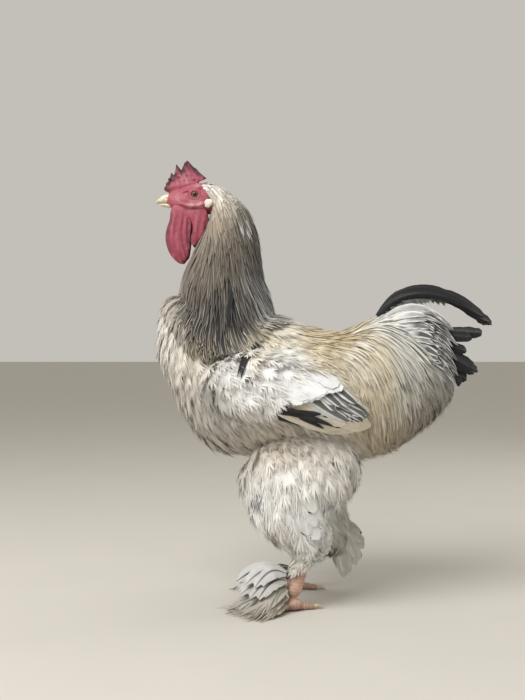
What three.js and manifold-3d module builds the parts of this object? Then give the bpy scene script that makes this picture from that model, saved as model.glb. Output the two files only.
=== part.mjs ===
// A Brahma cock, life size, standing still: millimetres, +Z up, the bird facing -X with its left side
// towards -Y. The origin lies on the floor, under the middle of the bird's length and width.
//
// Most forms are skins: a spine through a few named stations, each with half its width (along Y) and how
// far the form reaches over and under the spine. Feathers are thin curved plates, set in tiers with their
// roots sunk in those forms.
import * as THREE from "three";
import { mergeVertices } from "three/addons/utils/BufferGeometryUtils.js";
import Module from "manifold-3d";

const wasm = await Module();
wasm.setup();

// Driving sizes
const GAP = 0.35; // left between two nodes that touch
const LEFT = -1;
const RIGHT = 1;
const SIDES = { left: LEFT, right: RIGHT };

// Small mathematics
const { lerp, degToRad, smoothstep, clamp } = THREE.MathUtils;
const ACROSS = new THREE.Vector3(0, 1, 0);
const UP = new THREE.Vector3(0, 0, 1);

// One measure of a row of stations, smooth between them, at u from 0 to 1
function measure(stations, key, u) {
  const last = stations.length - 1;
  const place = clamp(u, 0, 1) * last;
  const i = Math.min(Math.floor(place), last - 1);
  const [a, b, c, d] = [i - 1, i, i + 1, i + 2].map((k) => stations[clamp(k, 0, last)][key] ?? 0);
  const t = place - i;
  return b + 0.5 * t * (c - a + t * (2 * a - 5 * b + 4 * c - d + t * (3 * (b - c) + d - a)));
}

// Solids
function solidOf(geometry) {
  const bare = new THREE.BufferGeometry();
  bare.setAttribute("position", geometry.getAttribute("position"));
  if (geometry.index) bare.setIndex(geometry.index);
  const merged = mergeVertices(bare, 1e-3);
  const kept = [];
  const index = merged.index.array;
  for (let i = 0; i < index.length; i += 3) {
    const [a, b, c] = index.slice(i, i + 3);
    if (a !== b && b !== c && c !== a) kept.push(a, b, c);
  }
  const vertProperties = new Float32Array(merged.attributes.position.array);
  const make = (triVerts) => new wasm.Manifold(new wasm.Mesh({ numProp: 3, vertProperties, triVerts }));
  const made = make(new Uint32Array(kept));
  if (made.volume() > 0) return made;
  for (let i = 0; i < kept.length; i += 3) [kept[i + 1], kept[i + 2]] = [kept[i + 2], kept[i + 1]];
  return make(new Uint32Array(kept));
}

function geometryOf(solid) {
  const { numProp, numVert, vertProperties, triVerts } = solid.getMesh();
  const position = new Float32Array(numVert * 3);
  for (let i = 0; i < numVert; i++) {
    position.set(vertProperties.subarray(i * numProp, i * numProp + 3), i * 3);
  }
  const geometry = new THREE.BufferGeometry();
  geometry.setAttribute("position", new THREE.BufferAttribute(position, 3));
  geometry.setIndex(new THREE.BufferAttribute(new Uint32Array(triVerts), 1));
  geometry.computeVertexNormals();
  return geometry;
}

const joined = (...solids) => solids.flat().reduce((sum, s) => sum.add(s));
const without = (solid, ...cutters) => cutters.flat().reduce((rest, c) => rest.subtract(c), solid);

// The largest closed surface of a solid, so that no scrap is left loose
function largest(solid) {
  return solid.decompose().sort((a, b) => b.volume() - a.volume())[0];
}

// A closed form round a spine
class Skin {
  constructor(stations, { upright = false, square = 1 } = {}) {
    Object.assign(this, { stations, upright, square });
  }
  centre(u) {
    return new THREE.Vector3(...["x", "y", "z"].map((key) => measure(this.stations, key, u)));
  }
  tangent(u) {
    const step = 0.01;
    return this.centre(Math.min(u + step, 1)).sub(this.centre(Math.max(u - step, 0))).normalize();
  }
  reach(u, key) {
    return Math.max(measure(this.stations, key, u), 0);
  }
  // turn is 0 over the spine and a quarter turn on the bird's right side
  bare(u, turn) {
    const along = this.tangent(u);
    const square = ACROSS.clone().addScaledVector(along, -along.y).normalize();
    const across = this.upright ? ACROSS.clone() : square;
    const over = this.upright ? UP.clone() : new THREE.Vector3().crossVectors(along, across);
    const [c, s] = [Math.cos(turn), Math.sin(turn)].map((v) => Math.sign(v) * Math.abs(v) ** this.square);
    return this.centre(u)
      .addScaledVector(over, c * this.reach(u, c > 0 ? "over" : "under"))
      .addScaledVector(across, s * this.reach(u, "wide"));
  }
  normal(u, turn) {
    const [du, da] = [0.004, 0.02];
    const inner = clamp(u, 0.012, 0.988);
    const alongSkin = this.bare(inner + du, turn).sub(this.bare(inner - du, turn));
    const round = this.bare(inner, turn + da).sub(this.bare(inner, turn - da));
    return new THREE.Vector3().crossVectors(alongSkin, round).normalize();
  }
  point(u, turn, grow = 0) {
    if (!grow) return this.bare(u, turn);
    if (u <= 0) return this.centre(0).addScaledVector(this.tangent(0), -grow);
    if (u >= 1) return this.centre(1).addScaledVector(this.tangent(1), grow);
    return this.bare(u, turn).addScaledVector(this.normal(u, turn), grow);
  }
  solid(rings, sides, grow = 0) {
    const ball = new THREE.SphereGeometry(1, sides, rings);
    const { position, uv } = ball.attributes;
    for (let i = 0; i < position.count; i++) {
      const u = Math.round((1 - uv.getY(i)) * rings) / rings;
      const pole = u === 0 || u === 1;
      const turn = pole ? 0 : Math.round(uv.getX(i) * sides) * ((2 * Math.PI) / sides);
      position.setXYZ(i, ...this.point(u, turn % (2 * Math.PI), grow));
    }
    return solidOf(ball);
  }
}

function ellipsoid(x, y, z, halfX, halfY, halfZ, sides = 12) {
  const ball = new THREE.SphereGeometry(1, sides, Math.ceil(sides / 2) + 1);
  return solidOf(ball.scale(halfX, halfY, halfZ).translate(x, y, z));
}

const mirrored = (stations, side) => stations.map((s) => ({ ...s, y: (s.y ?? 0) * side }));

// The same stations without the depth of the feathers that lie on them
function underCoat(stations) {
  return stations.map(({ coat = 0, wide, over, under, ...place }) => {
    const [w, o, u] = [wide, over, under].map((reach) => Math.max(reach - coat, reach / 2));
    return { ...place, wide: w, over: o, under: u };
  });
}

// Trunk: breast, back and abdomen, with upright sections. coat is the depth of the saddle feathers
const TRUNK = new Skin(
  underCoat([
    { x: -248, z: 392, wide: 0, over: 0, under: 0 },
    { x: -243, z: 392, wide: 36, over: 66, under: 40 },
    { x: -226, z: 384, wide: 62, over: 90, under: 62 },
    { x: -195, z: 364, wide: 82, over: 96, under: 106 },
    { x: -160, z: 350, wide: 94, over: 100, under: 124 },
    { x: -110, z: 340, wide: 100, over: 106, under: 118 },
    { x: -60, z: 335, wide: 102, over: 103, under: 114 },
    { x: -10, z: 330, wide: 101, over: 89, under: 112 },
    { x: 35, z: 328, wide: 97, over: 89, under: 110, coat: 1 },
    { x: 75, z: 330, wide: 88, over: 104, under: 110, coat: 6 },
    { x: 115, z: 338, wide: 72, over: 88, under: 98, coat: 8 },
    { x: 150, z: 340, wide: 56, over: 62, under: 75, coat: 8 },
    { x: 180, z: 340, wide: 36, over: 42, under: 45, coat: 7 },
    { x: 196, z: 340, wide: 16, over: 20, under: 20, coat: 4 },
    { x: 200, z: 340, wide: 0, over: 0, under: 0 },
  ]),
  { upright: true, square: 0.92 },
);
const LOIN_X = 26; // where the torso ends and the rump begins

// Neck from the crown down to the shoulders. coat is the depth of its hackle feathers
const CAPE = [
  { x: -184, z: 636, wide: 17, over: 13, under: 6, coat: 3 },
  { x: -168, z: 616, wide: 28, over: 30, under: 14, coat: 6 },
  { x: -155, z: 588, wide: 36, over: 47, under: 34, coat: 9 },
  { x: -153, z: 556, wide: 44, over: 58, under: 46, coat: 11 },
  { x: -156, z: 520, wide: 53, over: 66, under: 61, coat: 12 },
  { x: -157, z: 482, wide: 63, over: 72, under: 71, coat: 12 },
  { x: -150, z: 440, wide: 72, over: 78, under: 72, coat: 12 },
  { x: -146, z: 400, wide: 80, over: 72, under: 62, coat: 12 },
  { x: -143, z: 350, wide: 88, over: 64, under: 54, coat: 12 },
];
const HACKLE_BED = new Skin(underCoat(CAPE)); // what the hackle lies on, open at both ends
const NECK = new Skin([
  { x: -192, z: 642, wide: 0, over: 0, under: 0 },
  ...underCoat(CAPE),
  { x: -143, z: 344, wide: 0, over: 0, under: 0 },
]);

// Hackle: how far round from the nape each tier goes (degrees), and how long its feathers are
const HACKLE = { sink: 3, lift: 11, thick: 1.1, steps: 3, rootWidth: 0.2, tipWidth: 0.15 };
const HEM = { clear: 2, low: 366, rise: 80 }; // where the hackle ends over the shoulders
const HACKLE_TIERS = [
  { z: 622, count: 5, spread: 84, length: 64, width: 22 },
  { z: 594, count: 7, spread: 122, length: 82, width: 27 },
  { z: 560, count: 8, spread: 180, length: 94, width: 32 },
  { z: 520, count: 9, spread: 180, length: 100, width: 35 },
  { z: 478, count: 11, spread: 180, length: 130, width: 35 },
];

// Saddle: where each tier is rooted, how far round the side it goes and how far it falls (degrees)
const SADDLE = { sink: 3, lift: 8, width: 30, thick: 1.1, steps: 3, rootWidth: 0.25, tipWidth: 0.25 };
const SADDLE_TIERS = [
  { x: 34, from: 14, to: 54, count: 3, length: 62, fall: 24 },
  { x: 60, from: 24, to: 84, count: 3, length: 62, fall: 22 },
  { x: 86, from: 42, to: 102, count: 3, length: 58, fall: 18 },
  { x: 114, from: 54, to: 114, count: 3, length: 52, fall: 14 },
  { x: 142, from: 66, to: 112, count: 2, length: 40, fall: 8 },
];
const ROLL = degToRad(7); // how far each feather of a tier is turned, so that it lies on the next one

// Head
const HEAD = new Skin([
  { x: -244, z: 617, wide: 0, over: 0, under: 0 },
  { x: -240, z: 617, wide: 8.5, over: 12, under: 8 },
  { x: -228, z: 616, wide: 13, over: 18, under: 13 },
  { x: -213, z: 616, wide: 17, over: 22, under: 17 },
  { x: -197, z: 617, wide: 20, over: 26, under: 20 },
  { x: -180, z: 618, wide: 20, over: 26, under: 22 },
  { x: -167, z: 614, wide: 15, over: 20, under: 18 },
  { x: -160, z: 611, wide: 0, over: 0, under: 0 },
]);
const EYE = { x: -198, y: 17.2, z: 624, radius: 5.8 };
const LID = { radius: 7.2, thick: 1.7, out: 2.4 };
const MOUTH = { cornerX: -221, z: 612.5, high: 0.9, deep: 1.6 };

const UPPER_BEAK = new Skin([
  { x: -231, z: 619, wide: 0, over: 0, under: 0 },
  { x: -233, z: 620, wide: 8, over: 6, under: 8 },
  { x: -241, z: 619.5, wide: 7, over: 6.3, under: 8.6 },
  { x: -250, z: 617, wide: 4.8, over: 3.7, under: 6.6 },
  { x: -257, z: 613.8, wide: 2.3, over: 2, under: 3.2 },
  { x: -260.5, z: 611.3, wide: 0, over: 0, under: 0 },
]);
const NOSTRIL = { x: -243.5, y: 6.4, z: 620.5, halfX: 2.4, halfY: 1.6, halfZ: 1.1 };
const LOWER_BEAK = new Skin([
  { x: -230, z: 608.5, wide: 0, over: 0, under: 0 },
  { x: -232, z: 608.6, wide: 6.6, over: 3.6, under: 3 },
  { x: -242, z: 608.6, wide: 5.6, over: 3.2, under: 3 },
  { x: -251, z: 609.6, wide: 3.2, over: 1.8, under: 1.8 },
  { x: -256, z: 610.4, wide: 0, over: 0, under: 0 },
]);

// Skin of the face: wattles with a long front lobe and a shorter fold behind it, and the earlobes
const WATTLE_LOBES = [
  [
    { x: -214, y: 9, z: 612, wide: 0, over: 0, under: 0 },
    { x: -214, y: 10, z: 604, wide: 3.2, over: 15, under: 15 },
    { x: -218, y: 12, z: 583, wide: 3.4, over: 18, under: 19 },
    { x: -224, y: 13.5, z: 560, wide: 3.7, over: 19, under: 20 },
    { x: -223, y: 13.5, z: 540, wide: 4.2, over: 17, under: 17 },
    { x: -220, y: 12.5, z: 525, wide: 3.6, over: 11, under: 11 },
    { x: -219, y: 12, z: 519, wide: 0, over: 0, under: 0 },
  ],
  [
    { x: -195, y: 12, z: 609, wide: 0, over: 0, under: 0 },
    { x: -195, y: 13, z: 602, wide: 4, over: 12, under: 14 },
    { x: -191, y: 17, z: 582, wide: 3.2, over: 9, under: 12 },
    { x: -195, y: 18, z: 562, wide: 3.4, over: 8, under: 9 },
    { x: -200, y: 17.5, z: 550, wide: 2.6, over: 5, under: 5 },
    { x: -202, y: 17, z: 546, wide: 0, over: 0, under: 0 },
  ],
];
const EARLOBE = { x: -176.5, y: 20.8, z: 610.8, halfX: 7.6, halfY: 3.4, halfZ: 6.4 };

// Comb: one blade with five points, taken round its outline from the brow
const COMB_THICK = 7;
const COMB_BEVEL = { deep: 1.5, wide: 1.2 };
const COMB_POINTS = [
  [-241, 641],
  [-239, 648],
  [-236, 661],
  [-231, 656],
  [-228, 674],
  [-220, 664],
  [-216, 675],
  [-211, 680],
  [-202, 670],
  [-197, 667],
  [-191, 660],
  [-181, 652],
  [-193, 647],
  [-202, 641],
  [-205, 632],
];

// Tail: curved coverts in two rows on each side, two long sickles over them, and stiff feathers inside
const TAIL = new Skin([
  { x: 74, z: 422, wide: 0, over: 0, under: 0 },
  { x: 86, z: 422, wide: 20, over: 15, under: 18 },
  { x: 112, z: 418, wide: 27, over: 25, under: 30 },
  { x: 142, z: 402, wide: 25, over: 29, under: 36 },
  { x: 168, z: 384, wide: 17, over: 21, under: 28 },
  { x: 184, z: 374, wide: 0, over: 0, under: 0 },
]);
const COVERTS = {
  width: 32,
  inset: 5,
  rows: [
    { y: 13, spread: 5, reach: 1, count: 4 },
    { y: 20, spread: 6, reach: 0.82, count: 3 },
  ],
  highest: { root: [98, 438], crest: [142, 466], tip: [188, 430] },
  lowest: { root: [144, 388], crest: [176, 380], tip: [198, 340] },
};
const COVERT_VANE = { thick: 1.2, steps: 3, rootWidth: 0.5, tipWidth: 0.3 };
const SICKLE = {
  y: 3,
  spread: 15,
  width: 24,
  points: [
    [84, 438],
    [108, 464],
    [140, 476],
    [176, 474],
    [212, 460],
    [242, 438],
    [258, 425],
  ],
};
const QUILLS = [
  { y: 3.5, from: [152, 400], to: [245, 411], width: 24 },
  { y: 6.5, from: [156, 384], to: [236, 353], width: 30 },
  { y: 3.5, from: [152, 380], to: [224, 338], width: 28 },
];
const QUILL_VANE = { thick: 1.6, steps: 2, rootWidth: 0.6, tipWidth: 0.7 };
const QUILL_FLARE = 6; // how far the tip of each stands out from its root

// Wings, folded: a flat core with coverts, secondaries and primaries. heading is the slope (degrees)
const WING = { x: -62, z: 326, halfLength: 112, halfHeight: 42, tilt: degToRad(17), thick: 6 };
const WING_VANE = { sink: 3, thick: 1, steps: 3, roll: degToRad(10), rootWidth: 0.25, tipWidth: 0.5 };
const WING_TIERS = [
  { from: [-146, 340], to: [-56, 366], count: 4, length: 62, heading: 34, width: 34, lift: 12 },
  { from: [-130, 316], to: [-32, 348], count: 4, length: 68, heading: 26, width: 36, lift: 9.5 },
  { from: [-98, 299], to: [-14, 328], count: 4, length: 76, heading: 20, width: 28, lift: 7 },
  { from: [-72, 286], to: [-40, 298], count: 2, length: 94, heading: 16, width: 24, lift: 4.5 },
];

// Legs: the right leg's hock stands further back and lower, as the bird shifts its weight
const LEGS = {
  left: { side: LEFT, hock: [-12, 120], ankle: [-50, 24], plume: 52, reach: 1 },
  right: { side: RIGHT, hock: [32, 104], ankle: [-40, 24], plume: 84, reach: 1.3 },
};
const HIP = { x: -34, z: 232, y: 58 };
const STANCE = 65; // from the middle of the bird to the middle of each foot
const SHANK_RADIUS = 9.5;
// Feathers behind the hock (fanned from back to down, in degrees), down the outside of the shank, and
// over the toes (fanned from straight ahead to the outside)
const HOCK = { count: 5, from: 24, to: 84, behind: -6, above: 10, shortest: 0.75, longest: 1.1, apart: 4 };
const HOCK_VANE = { width: 25, thick: 1.2, steps: 3, rootWidth: 0.6, tipWidth: 0.5 };
const SLEEVE = { count: 3, from: 0.28, to: 0.5, drop: 30, ahead: 14, out: 5, flare: 9 };
const SLEEVE_VANE = { width: 20, thick: 1.2, steps: 3, rootWidth: 0.5, tipWidth: 0.5 };
const FAN = { start: 9, longest: 91, shortest: 33, to: 64, out: 4, flare: 6 };
const FAN_VANE = { width: 26, thick: 1.1, steps: 3, rootWidth: 0.2, tipWidth: 0.5 };
const FAN_LAYERS = [
  { count: 4, rootZ: 15, tipZ: 42, arch: 20, share: 1 },
  { count: 3, rootZ: 8, tipZ: 6, arch: 15, share: 0.85 },
]; // share of the leg's full reach
const FOOT_PAD = { radius: 14, high: 11 };
const TOE_ROOT = 7.2;
const TOE_TIP = 5.2;
const TOES = [
  { name: "inner", length: 58, heading: 30 },
  { name: "middle", length: 76, heading: 2 },
  { name: "outer", length: 62, heading: -30 },
  { name: "hind", length: 34, heading: 168 },
];
const CLAW = { length: 15, radius: 3.4, high: 5 };

const group = new THREE.Group();
const FINISH = {
  plumage: { color: 0xe4ddcb, roughness: 0.85 },
  hackle: { color: 0x9c9488, roughness: 0.8 },
  tail: { color: 0x1f2226, roughness: 0.6 },
  comb: { color: 0xa8324a, roughness: 0.6 },
  beak: { color: 0xd8c48e, roughness: 0.45 },
  eye: { color: 0x2a1a10, roughness: 0.1 },
  earlobe: { color: 0xe9e3d8, roughness: 0.6 },
  scales: { color: 0xc79a7c, roughness: 0.65 },
  claw: { color: 0xd9cdb8, roughness: 0.45 },
};

function node(name, solid, finish) {
  const material = new THREE.MeshStandardMaterial({ ...FINISH[finish], metalness: 0 });
  const mesh = new THREE.Mesh(geometryOf(solid), material);
  mesh.name = name;
  group.add(mesh);
}

// A feather: a thin curved plate along path(s), which gives a point and an outward normal for s from 0 to 1
function vane(path, { width, thick, steps, rootWidth, tipWidth, roll = 0 }) {
  const corners = [];
  for (let i = 0; i <= steps; i++) {
    const s = i / steps;
    const { p, n } = path(s);
    const ahead = path(Math.min(s + 0.02, 1)).p.sub(path(Math.max(s - 0.02, 0)).p).normalize();
    const beside = new THREE.Vector3().crossVectors(n, ahead).normalize().applyAxisAngle(ahead, roll);
    const facing = new THREE.Vector3().crossVectors(ahead, beside).normalize();
    const full = Math.sin(Math.PI * (0.12 + 0.66 * s)) ** 0.7;
    const taper = s < 0.5 ? lerp(rootWidth, 1, s * 2) : lerp(1, tipWidth, (s * 2 - 1) ** 3);
    const half = (width / 2) * Math.min(full, taper);
    const deep = (thick / 2) * lerp(1, 0.6, s);
    for (const [a, b] of [[-1, -1], [1, -1], [1, 1], [-1, 1]]) {
      corners.push(...p.clone().addScaledVector(beside, a * half).addScaledVector(facing, b * deep));
    }
  }
  const index = [];
  const quad = (a, b, c, d) => index.push(a, b, c, a, c, d);
  for (let i = 0; i < steps; i++) {
    const [k, m] = [i * 4, i * 4 + 4];
    quad(k, k + 1, m + 1, m);
    quad(k + 1, k + 2, m + 2, m + 1);
    quad(k + 3, m + 3, m + 2, k + 2);
    quad(k + 3, k, m, m + 3);
  }
  const last = steps * 4;
  quad(3, 2, 1, 0);
  quad(last, last + 1, last + 2, last + 3);
  const geometry = new THREE.BufferGeometry();
  geometry.setAttribute("position", new THREE.Float32BufferAttribute(corners, 3));
  geometry.setIndex(index);
  return solidOf(geometry);
}

// A surface to set feathers on, from a function that gives its point at two measures
function surfaceOf(point, [stepA, stepB], outward = 1) {
  return (a, b, height) => {
    const alongA = point(a + stepA, b).sub(point(a - stepA, b));
    const alongB = point(a, b + stepB).sub(point(a, b - stepB));
    const n = new THREE.Vector3().crossVectors(alongA, alongB).multiplyScalar(outward).normalize();
    return { p: point(a, b).addScaledVector(n, height), n };
  };
}

// A feather from its root, sunk below the surface, to its tip, lifted over the next tier
function feather(surface, root, tip, { sink, lift, ...shape }) {
  const path = (s) => {
    const [a, b] = root.map((value, i) => lerp(value, tip[i], s));
    return surface(a, b, lerp(-sink, lift, s ** 0.8));
  };
  return vane(path, shape);
}

// Small differences between feathers, the same on every run
let seed = 20;
function vary(amount) {
  seed = (seed * 1103515245 + 12345) % 2147483648;
  return ((seed / 2147483648) * 2 - 1) * amount;
}

// Trunk
const belowFloor = solidOf(new THREE.BoxGeometry(900, 900, 100).translate(0, 0, -50));
const behind = (x) => solidOf(new THREE.BoxGeometry(600, 600, 900).translate(x + 300, 0, 400));
const trunk = TRUNK.solid(20, 20);
const trunkGrown = TRUNK.solid(20, 20, GAP);
node("torso", without(trunk, behind(LOIN_X)), "plumage");

// Where along a skin one of its measures is reached, for a measure that only rises or falls
function along(skin, key, value) {
  const rises = skin.centre(1)[key] > skin.centre(0)[key];
  let [low, high] = [0, 1];
  for (let i = 0; i < 24; i++) {
    const middle = (low + high) / 2;
    if (skin.centre(middle)[key] < value === rises) low = middle;
    else high = middle;
  }
  return (low + high) / 2;
}

const saddleBed = surfaceOf((u, turn) => TRUNK.bare(u, turn), [0.004, 0.02]);
const saddle = [];
for (const side of [LEFT, RIGHT]) {
  for (const { x, from, to, count, length, fall } of SADDLE_TIERS) {
    for (let i = 0; i < count; i++) {
      const turn = degToRad(lerp(from, to, i / (count - 1)) + vary(2));
      const root = [along(TRUNK, "x", x + vary(2)), side * turn];
      const tip = [along(TRUNK, "x", x + length + vary(4)), side * (turn + degToRad(fall))];
      saddle.push(feather(saddleBed, root, tip, { ...SADDLE, roll: side * ROLL }));
    }
  }
}
node("rump", largest(joined(trunk, saddle).intersect(behind(LOIN_X + GAP))), "plumage");

// Head: skull and lids, with a mouth line and a socket for each eye
function headForm(grow = 0) {
  const lids = [LEFT, RIGHT].map((side) =>
    solidOf(
      new THREE.TorusGeometry(LID.radius, LID.thick + grow, 4, 10)
        .rotateX(Math.PI / 2)
        .translate(EYE.x, side * (EYE.y + LID.out), EYE.z),
    ),
  );
  return joined(HEAD.solid(13, 12, grow), lids);
}

const headGrown = headForm(GAP);
const sockets = [LEFT, RIGHT].map((side) =>
  ellipsoid(EYE.x, side * EYE.y, EYE.z, ...Array(3).fill(EYE.radius + GAP), 10),
);
const mouthSlit = solidOf(
  new THREE.BoxGeometry(30, 60, MOUTH.high).translate(MOUTH.cornerX - 15, 0, MOUTH.z),
).subtract(HEAD.solid(8, 8, -MOUTH.deep));
const beakRoom = [UPPER_BEAK.solid(8, 10, GAP), LOWER_BEAK.solid(8, 10, GAP)];
node("head", largest(without(headForm(), sockets, mouthSlit, beakRoom)), "comb");

const nostrils = [LEFT, RIGHT].map((side) => {
  const { x, y, z, halfX, halfY, halfZ } = NOSTRIL;
  return ellipsoid(x, side * y, z, halfX, halfY, halfZ, 8);
});
node("beak_upper", without(UPPER_BEAK.solid(8, 10), nostrils), "beak");
node("beak_lower", LOWER_BEAK.solid(8, 10), "beak");

for (const [name, side] of Object.entries(SIDES)) {
  node(`eye_${name}`, ellipsoid(EYE.x, side * EYE.y, EYE.z, ...Array(3).fill(EYE.radius), 10), "eye");
}

// Comb
const combOutline = new THREE.Shape(COMB_POINTS.map(([x, z]) => new THREE.Vector2(x, z)));
const combBlade = new THREE.ExtrudeGeometry(combOutline, {
  depth: COMB_THICK - 2 * COMB_BEVEL.deep,
  bevelEnabled: true,
  bevelThickness: COMB_BEVEL.deep,
  bevelSize: COMB_BEVEL.wide,
  bevelOffset: -COMB_BEVEL.wide,
  bevelSegments: 1,
})
  .rotateX(Math.PI / 2)
  .translate(0, COMB_THICK / 2 - COMB_BEVEL.deep, 0);
const combFoot = new Skin([
  { x: -246, z: 634, wide: 0, over: 0, under: 0 },
  { x: -243, z: 635, wide: 4, over: 5, under: 5 },
  { x: -232, z: 638, wide: 5.6, over: 7, under: 8 },
  { x: -216, z: 641, wide: 6, over: 7, under: 8 },
  { x: -202, z: 643, wide: 5, over: 5, under: 6 },
  { x: -192, z: 647, wide: 0, over: 0, under: 0 },
]).solid(10, 10);
const comb = largest(without(joined(solidOf(combBlade), combFoot), headGrown, beakRoom[0]));
node("comb", comb, "comb");

// Neck
const earlobeAt = (side, grow = 0) => {
  const { x, y, z, halfX, halfY, halfZ } = EARLOBE;
  return ellipsoid(x, side * y, z, halfX + grow, halfY + grow, halfZ + grow, 10);
};
const earlobesGrown = [LEFT, RIGHT].map((side) => earlobeAt(side, GAP));

// A point moved out of the trunk, away from the middle of its section
function outside(point, clear) {
  const u = along(TRUNK, "x", point.x);
  const { z } = TRUNK.centre(u);
  const rise = point.z - z;
  const power = 2 / TRUNK.square;
  const wide = Math.max(TRUNK.reach(u, "wide"), 1);
  const high = Math.max(TRUNK.reach(u, rise > 0 ? "over" : "under"), 1);
  const share = (Math.abs(point.y / wide) ** power + Math.abs(rise / high) ** power) ** (1 / power);
  const length = Math.hypot(point.y, rise);
  const stretch = Math.max(1 / share + clear / length, 1);
  return new THREE.Vector3(point.x, point.y * stretch, z + rise * stretch);
}

const hackleBed = surfaceOf((u, turn) => outside(HACKLE_BED.bare(u, turn), HEM.clear), [0.006, 0.03]);
const hem = (turn) => HEM.low + HEM.rise * Math.abs(Math.cos(turn)) ** 1.2;

function hackleFeathers() {
  return HACKLE_TIERS.flatMap(({ z, count, spread, length, width }, tier) =>
    Array.from({ length: count }, (_, i) => {
      const whole = spread === 180;
      const share = whole ? (i + (tier % 2) / 2) / count : i / (count - 1);
      const turn = degToRad(whole ? share * 360 : lerp(-spread, spread, share));
      const tipZ = Math.max(z - length, hem(turn)) + vary(5);
      const root = [along(HACKLE_BED, "z", z + vary(3)), turn];
      const tip = [along(HACKLE_BED, "z", tipZ), turn + vary(0.05)];
      return feather(hackleBed, root, tip, { ...HACKLE, width, roll: ROLL });
    }),
  );
}
const neckWhole = joined(NECK.solid(13, 14), hackleFeathers());
const neckGrown = NECK.solid(13, 14, GAP);
node("neck", largest(without(neckWhole, trunkGrown, headGrown, earlobesGrown)), "hackle");

// Wattles and earlobes
for (const [name, side] of Object.entries(SIDES)) {
  const lobes = WATTLE_LOBES.map((stations) => new Skin(mirrored(stations, side)).solid(8, 10));
  node(`wattle_${name}`, largest(without(joined(lobes), headGrown, neckGrown, beakRoom[1])), "comb");
  node(`earlobe_${name}`, largest(without(earlobeAt(side), headGrown)), "earlobe");
}

// Tail
const tailGrown = TAIL.solid(8, 12, GAP);
const mixed = (a, b, t) => a.map((value, i) => lerp(value, b[i], t));
const tailFeathers = [];
for (const side of [LEFT, RIGHT]) {
  for (const { y, from, to, width } of QUILLS) {
    const path = (s) => {
      const [x, z] = mixed(from, to, s);
      return { p: new THREE.Vector3(x, side * (y + QUILL_FLARE * s), z), n: new THREE.Vector3(0, side, 0) };
    };
    tailFeathers.push(vane(path, { width, ...QUILL_VANE }));
  }
  for (const { y, spread, reach, count } of COVERTS.rows) {
    for (let i = 0; i < count; i++) {
      const share = i / (count - 1);
      const [root, crest, tip] = ["root", "crest", "tip"].map((key) =>
        mixed(COVERTS.highest[key], COVERTS.lowest[key], share),
      );
      const points = [root, crest, tip].map((p) => new THREE.Vector2(...p));
      const curve = new THREE.QuadraticBezierCurve(...points);
      const path = (s) => {
        const { x, y: z } = curve.getPoint(s * reach);
        const out = lerp(-COVERTS.inset, spread, Math.sqrt(s));
        return { p: new THREE.Vector3(x, side * (y + out), z), n: new THREE.Vector3(0, side, 0) };
      };
      tailFeathers.push(vane(path, { width: COVERTS.width, roll: side * ROLL, ...COVERT_VANE }));
    }
  }
}
node("tail", largest(without(joined(TAIL.solid(8, 12), tailFeathers), trunkGrown)), "plumage");

for (const [name, side] of Object.entries(SIDES)) {
  const line = new THREE.CatmullRomCurve3(
    SICKLE.points.map(([x, z], i) => {
      const share = i / (SICKLE.points.length - 1);
      return new THREE.Vector3(x, side * (SICKLE.y + SICKLE.spread * share ** 2), z);
    }),
  );
  const path = (s) => ({ p: line.getPoint(s), n: new THREE.Vector3(0, side, 0) });
  const plate = vane(path, { width: SICKLE.width, thick: 2, steps: 12, rootWidth: 0.5, tipWidth: 0.25 });
  node(`sickle_${name}`, largest(without(plate, tailGrown, trunkGrown)), "tail");
}

// Wings
function sideY(x, z) {
  const u = along(TRUNK, "x", x);
  const rise = z - TRUNK.centre(u).z;
  const share = Math.min(Math.abs(rise) / TRUNK.reach(u, rise > 0 ? "over" : "under"), 0.98);
  const power = 2 / TRUNK.square;
  return TRUNK.reach(u, "wide") * (1 - share ** power) ** (1 / power);
}

function wingPlate(side, grow = 0) {
  const ball = new THREE.SphereGeometry(1, 16, 6).rotateX(Math.PI / 2);
  const { position } = ball.attributes;
  for (let i = 0; i < position.count; i++) {
    const [a, b, c] = [position.getX(i), position.getY(i), position.getZ(i)];
    const outward = a * (WING.halfLength + grow);
    const high = c * (WING.halfHeight + grow) * lerp(1, 0.72, (a + 1) / 2);
    const x = WING.x + outward * Math.cos(WING.tilt) + high * Math.sin(WING.tilt);
    const z = WING.z - outward * Math.sin(WING.tilt) + high * Math.cos(WING.tilt);
    position.setXYZ(i, x, side * (sideY(x, z) + b * (WING.thick + grow)), z);
  }
  return solidOf(ball);
}

// How far out the core of the wing reaches beside the trunk at a place in its side view
function wingY(x, z) {
  const [dx, dz] = [x - WING.x, z - WING.z];
  const lengthwise = (dx * Math.cos(WING.tilt) - dz * Math.sin(WING.tilt)) / WING.halfLength;
  const high = (dx * Math.sin(WING.tilt) + dz * Math.cos(WING.tilt)) / WING.halfHeight;
  const narrowed = high / lerp(1, 0.72, (lengthwise + 1) / 2);
  return sideY(x, z) + WING.thick * Math.sqrt(Math.max(1 - lengthwise ** 2 - narrowed ** 2, 0));
}

function wingFeathers(side) {
  const bed = surfaceOf((x, z) => new THREE.Vector3(x, side * wingY(x, z), z), [2, 2], -side);
  return WING_TIERS.flatMap(({ from, to, count, length, heading, width, lift }) =>
    Array.from({ length: count }, (_, i) => {
      const root = mixed(from, to, i / (count - 1));
      const slope = degToRad(heading);
      const tip = [root[0] + length * Math.cos(slope), root[1] - length * Math.sin(slope)];
      return feather(bed, root, tip, { ...WING_VANE, lift, width, roll: side * WING_VANE.roll });
    }),
  );
}

for (const [name, side] of Object.entries(SIDES)) {
  const wing = joined(wingPlate(side), wingFeathers(side));
  node(`wing_${name}`, largest(without(wing, trunkGrown, neckGrown)), "plumage");
}
const wingsGrown = [LEFT, RIGHT].map((side) => wingPlate(side, GAP));

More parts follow.
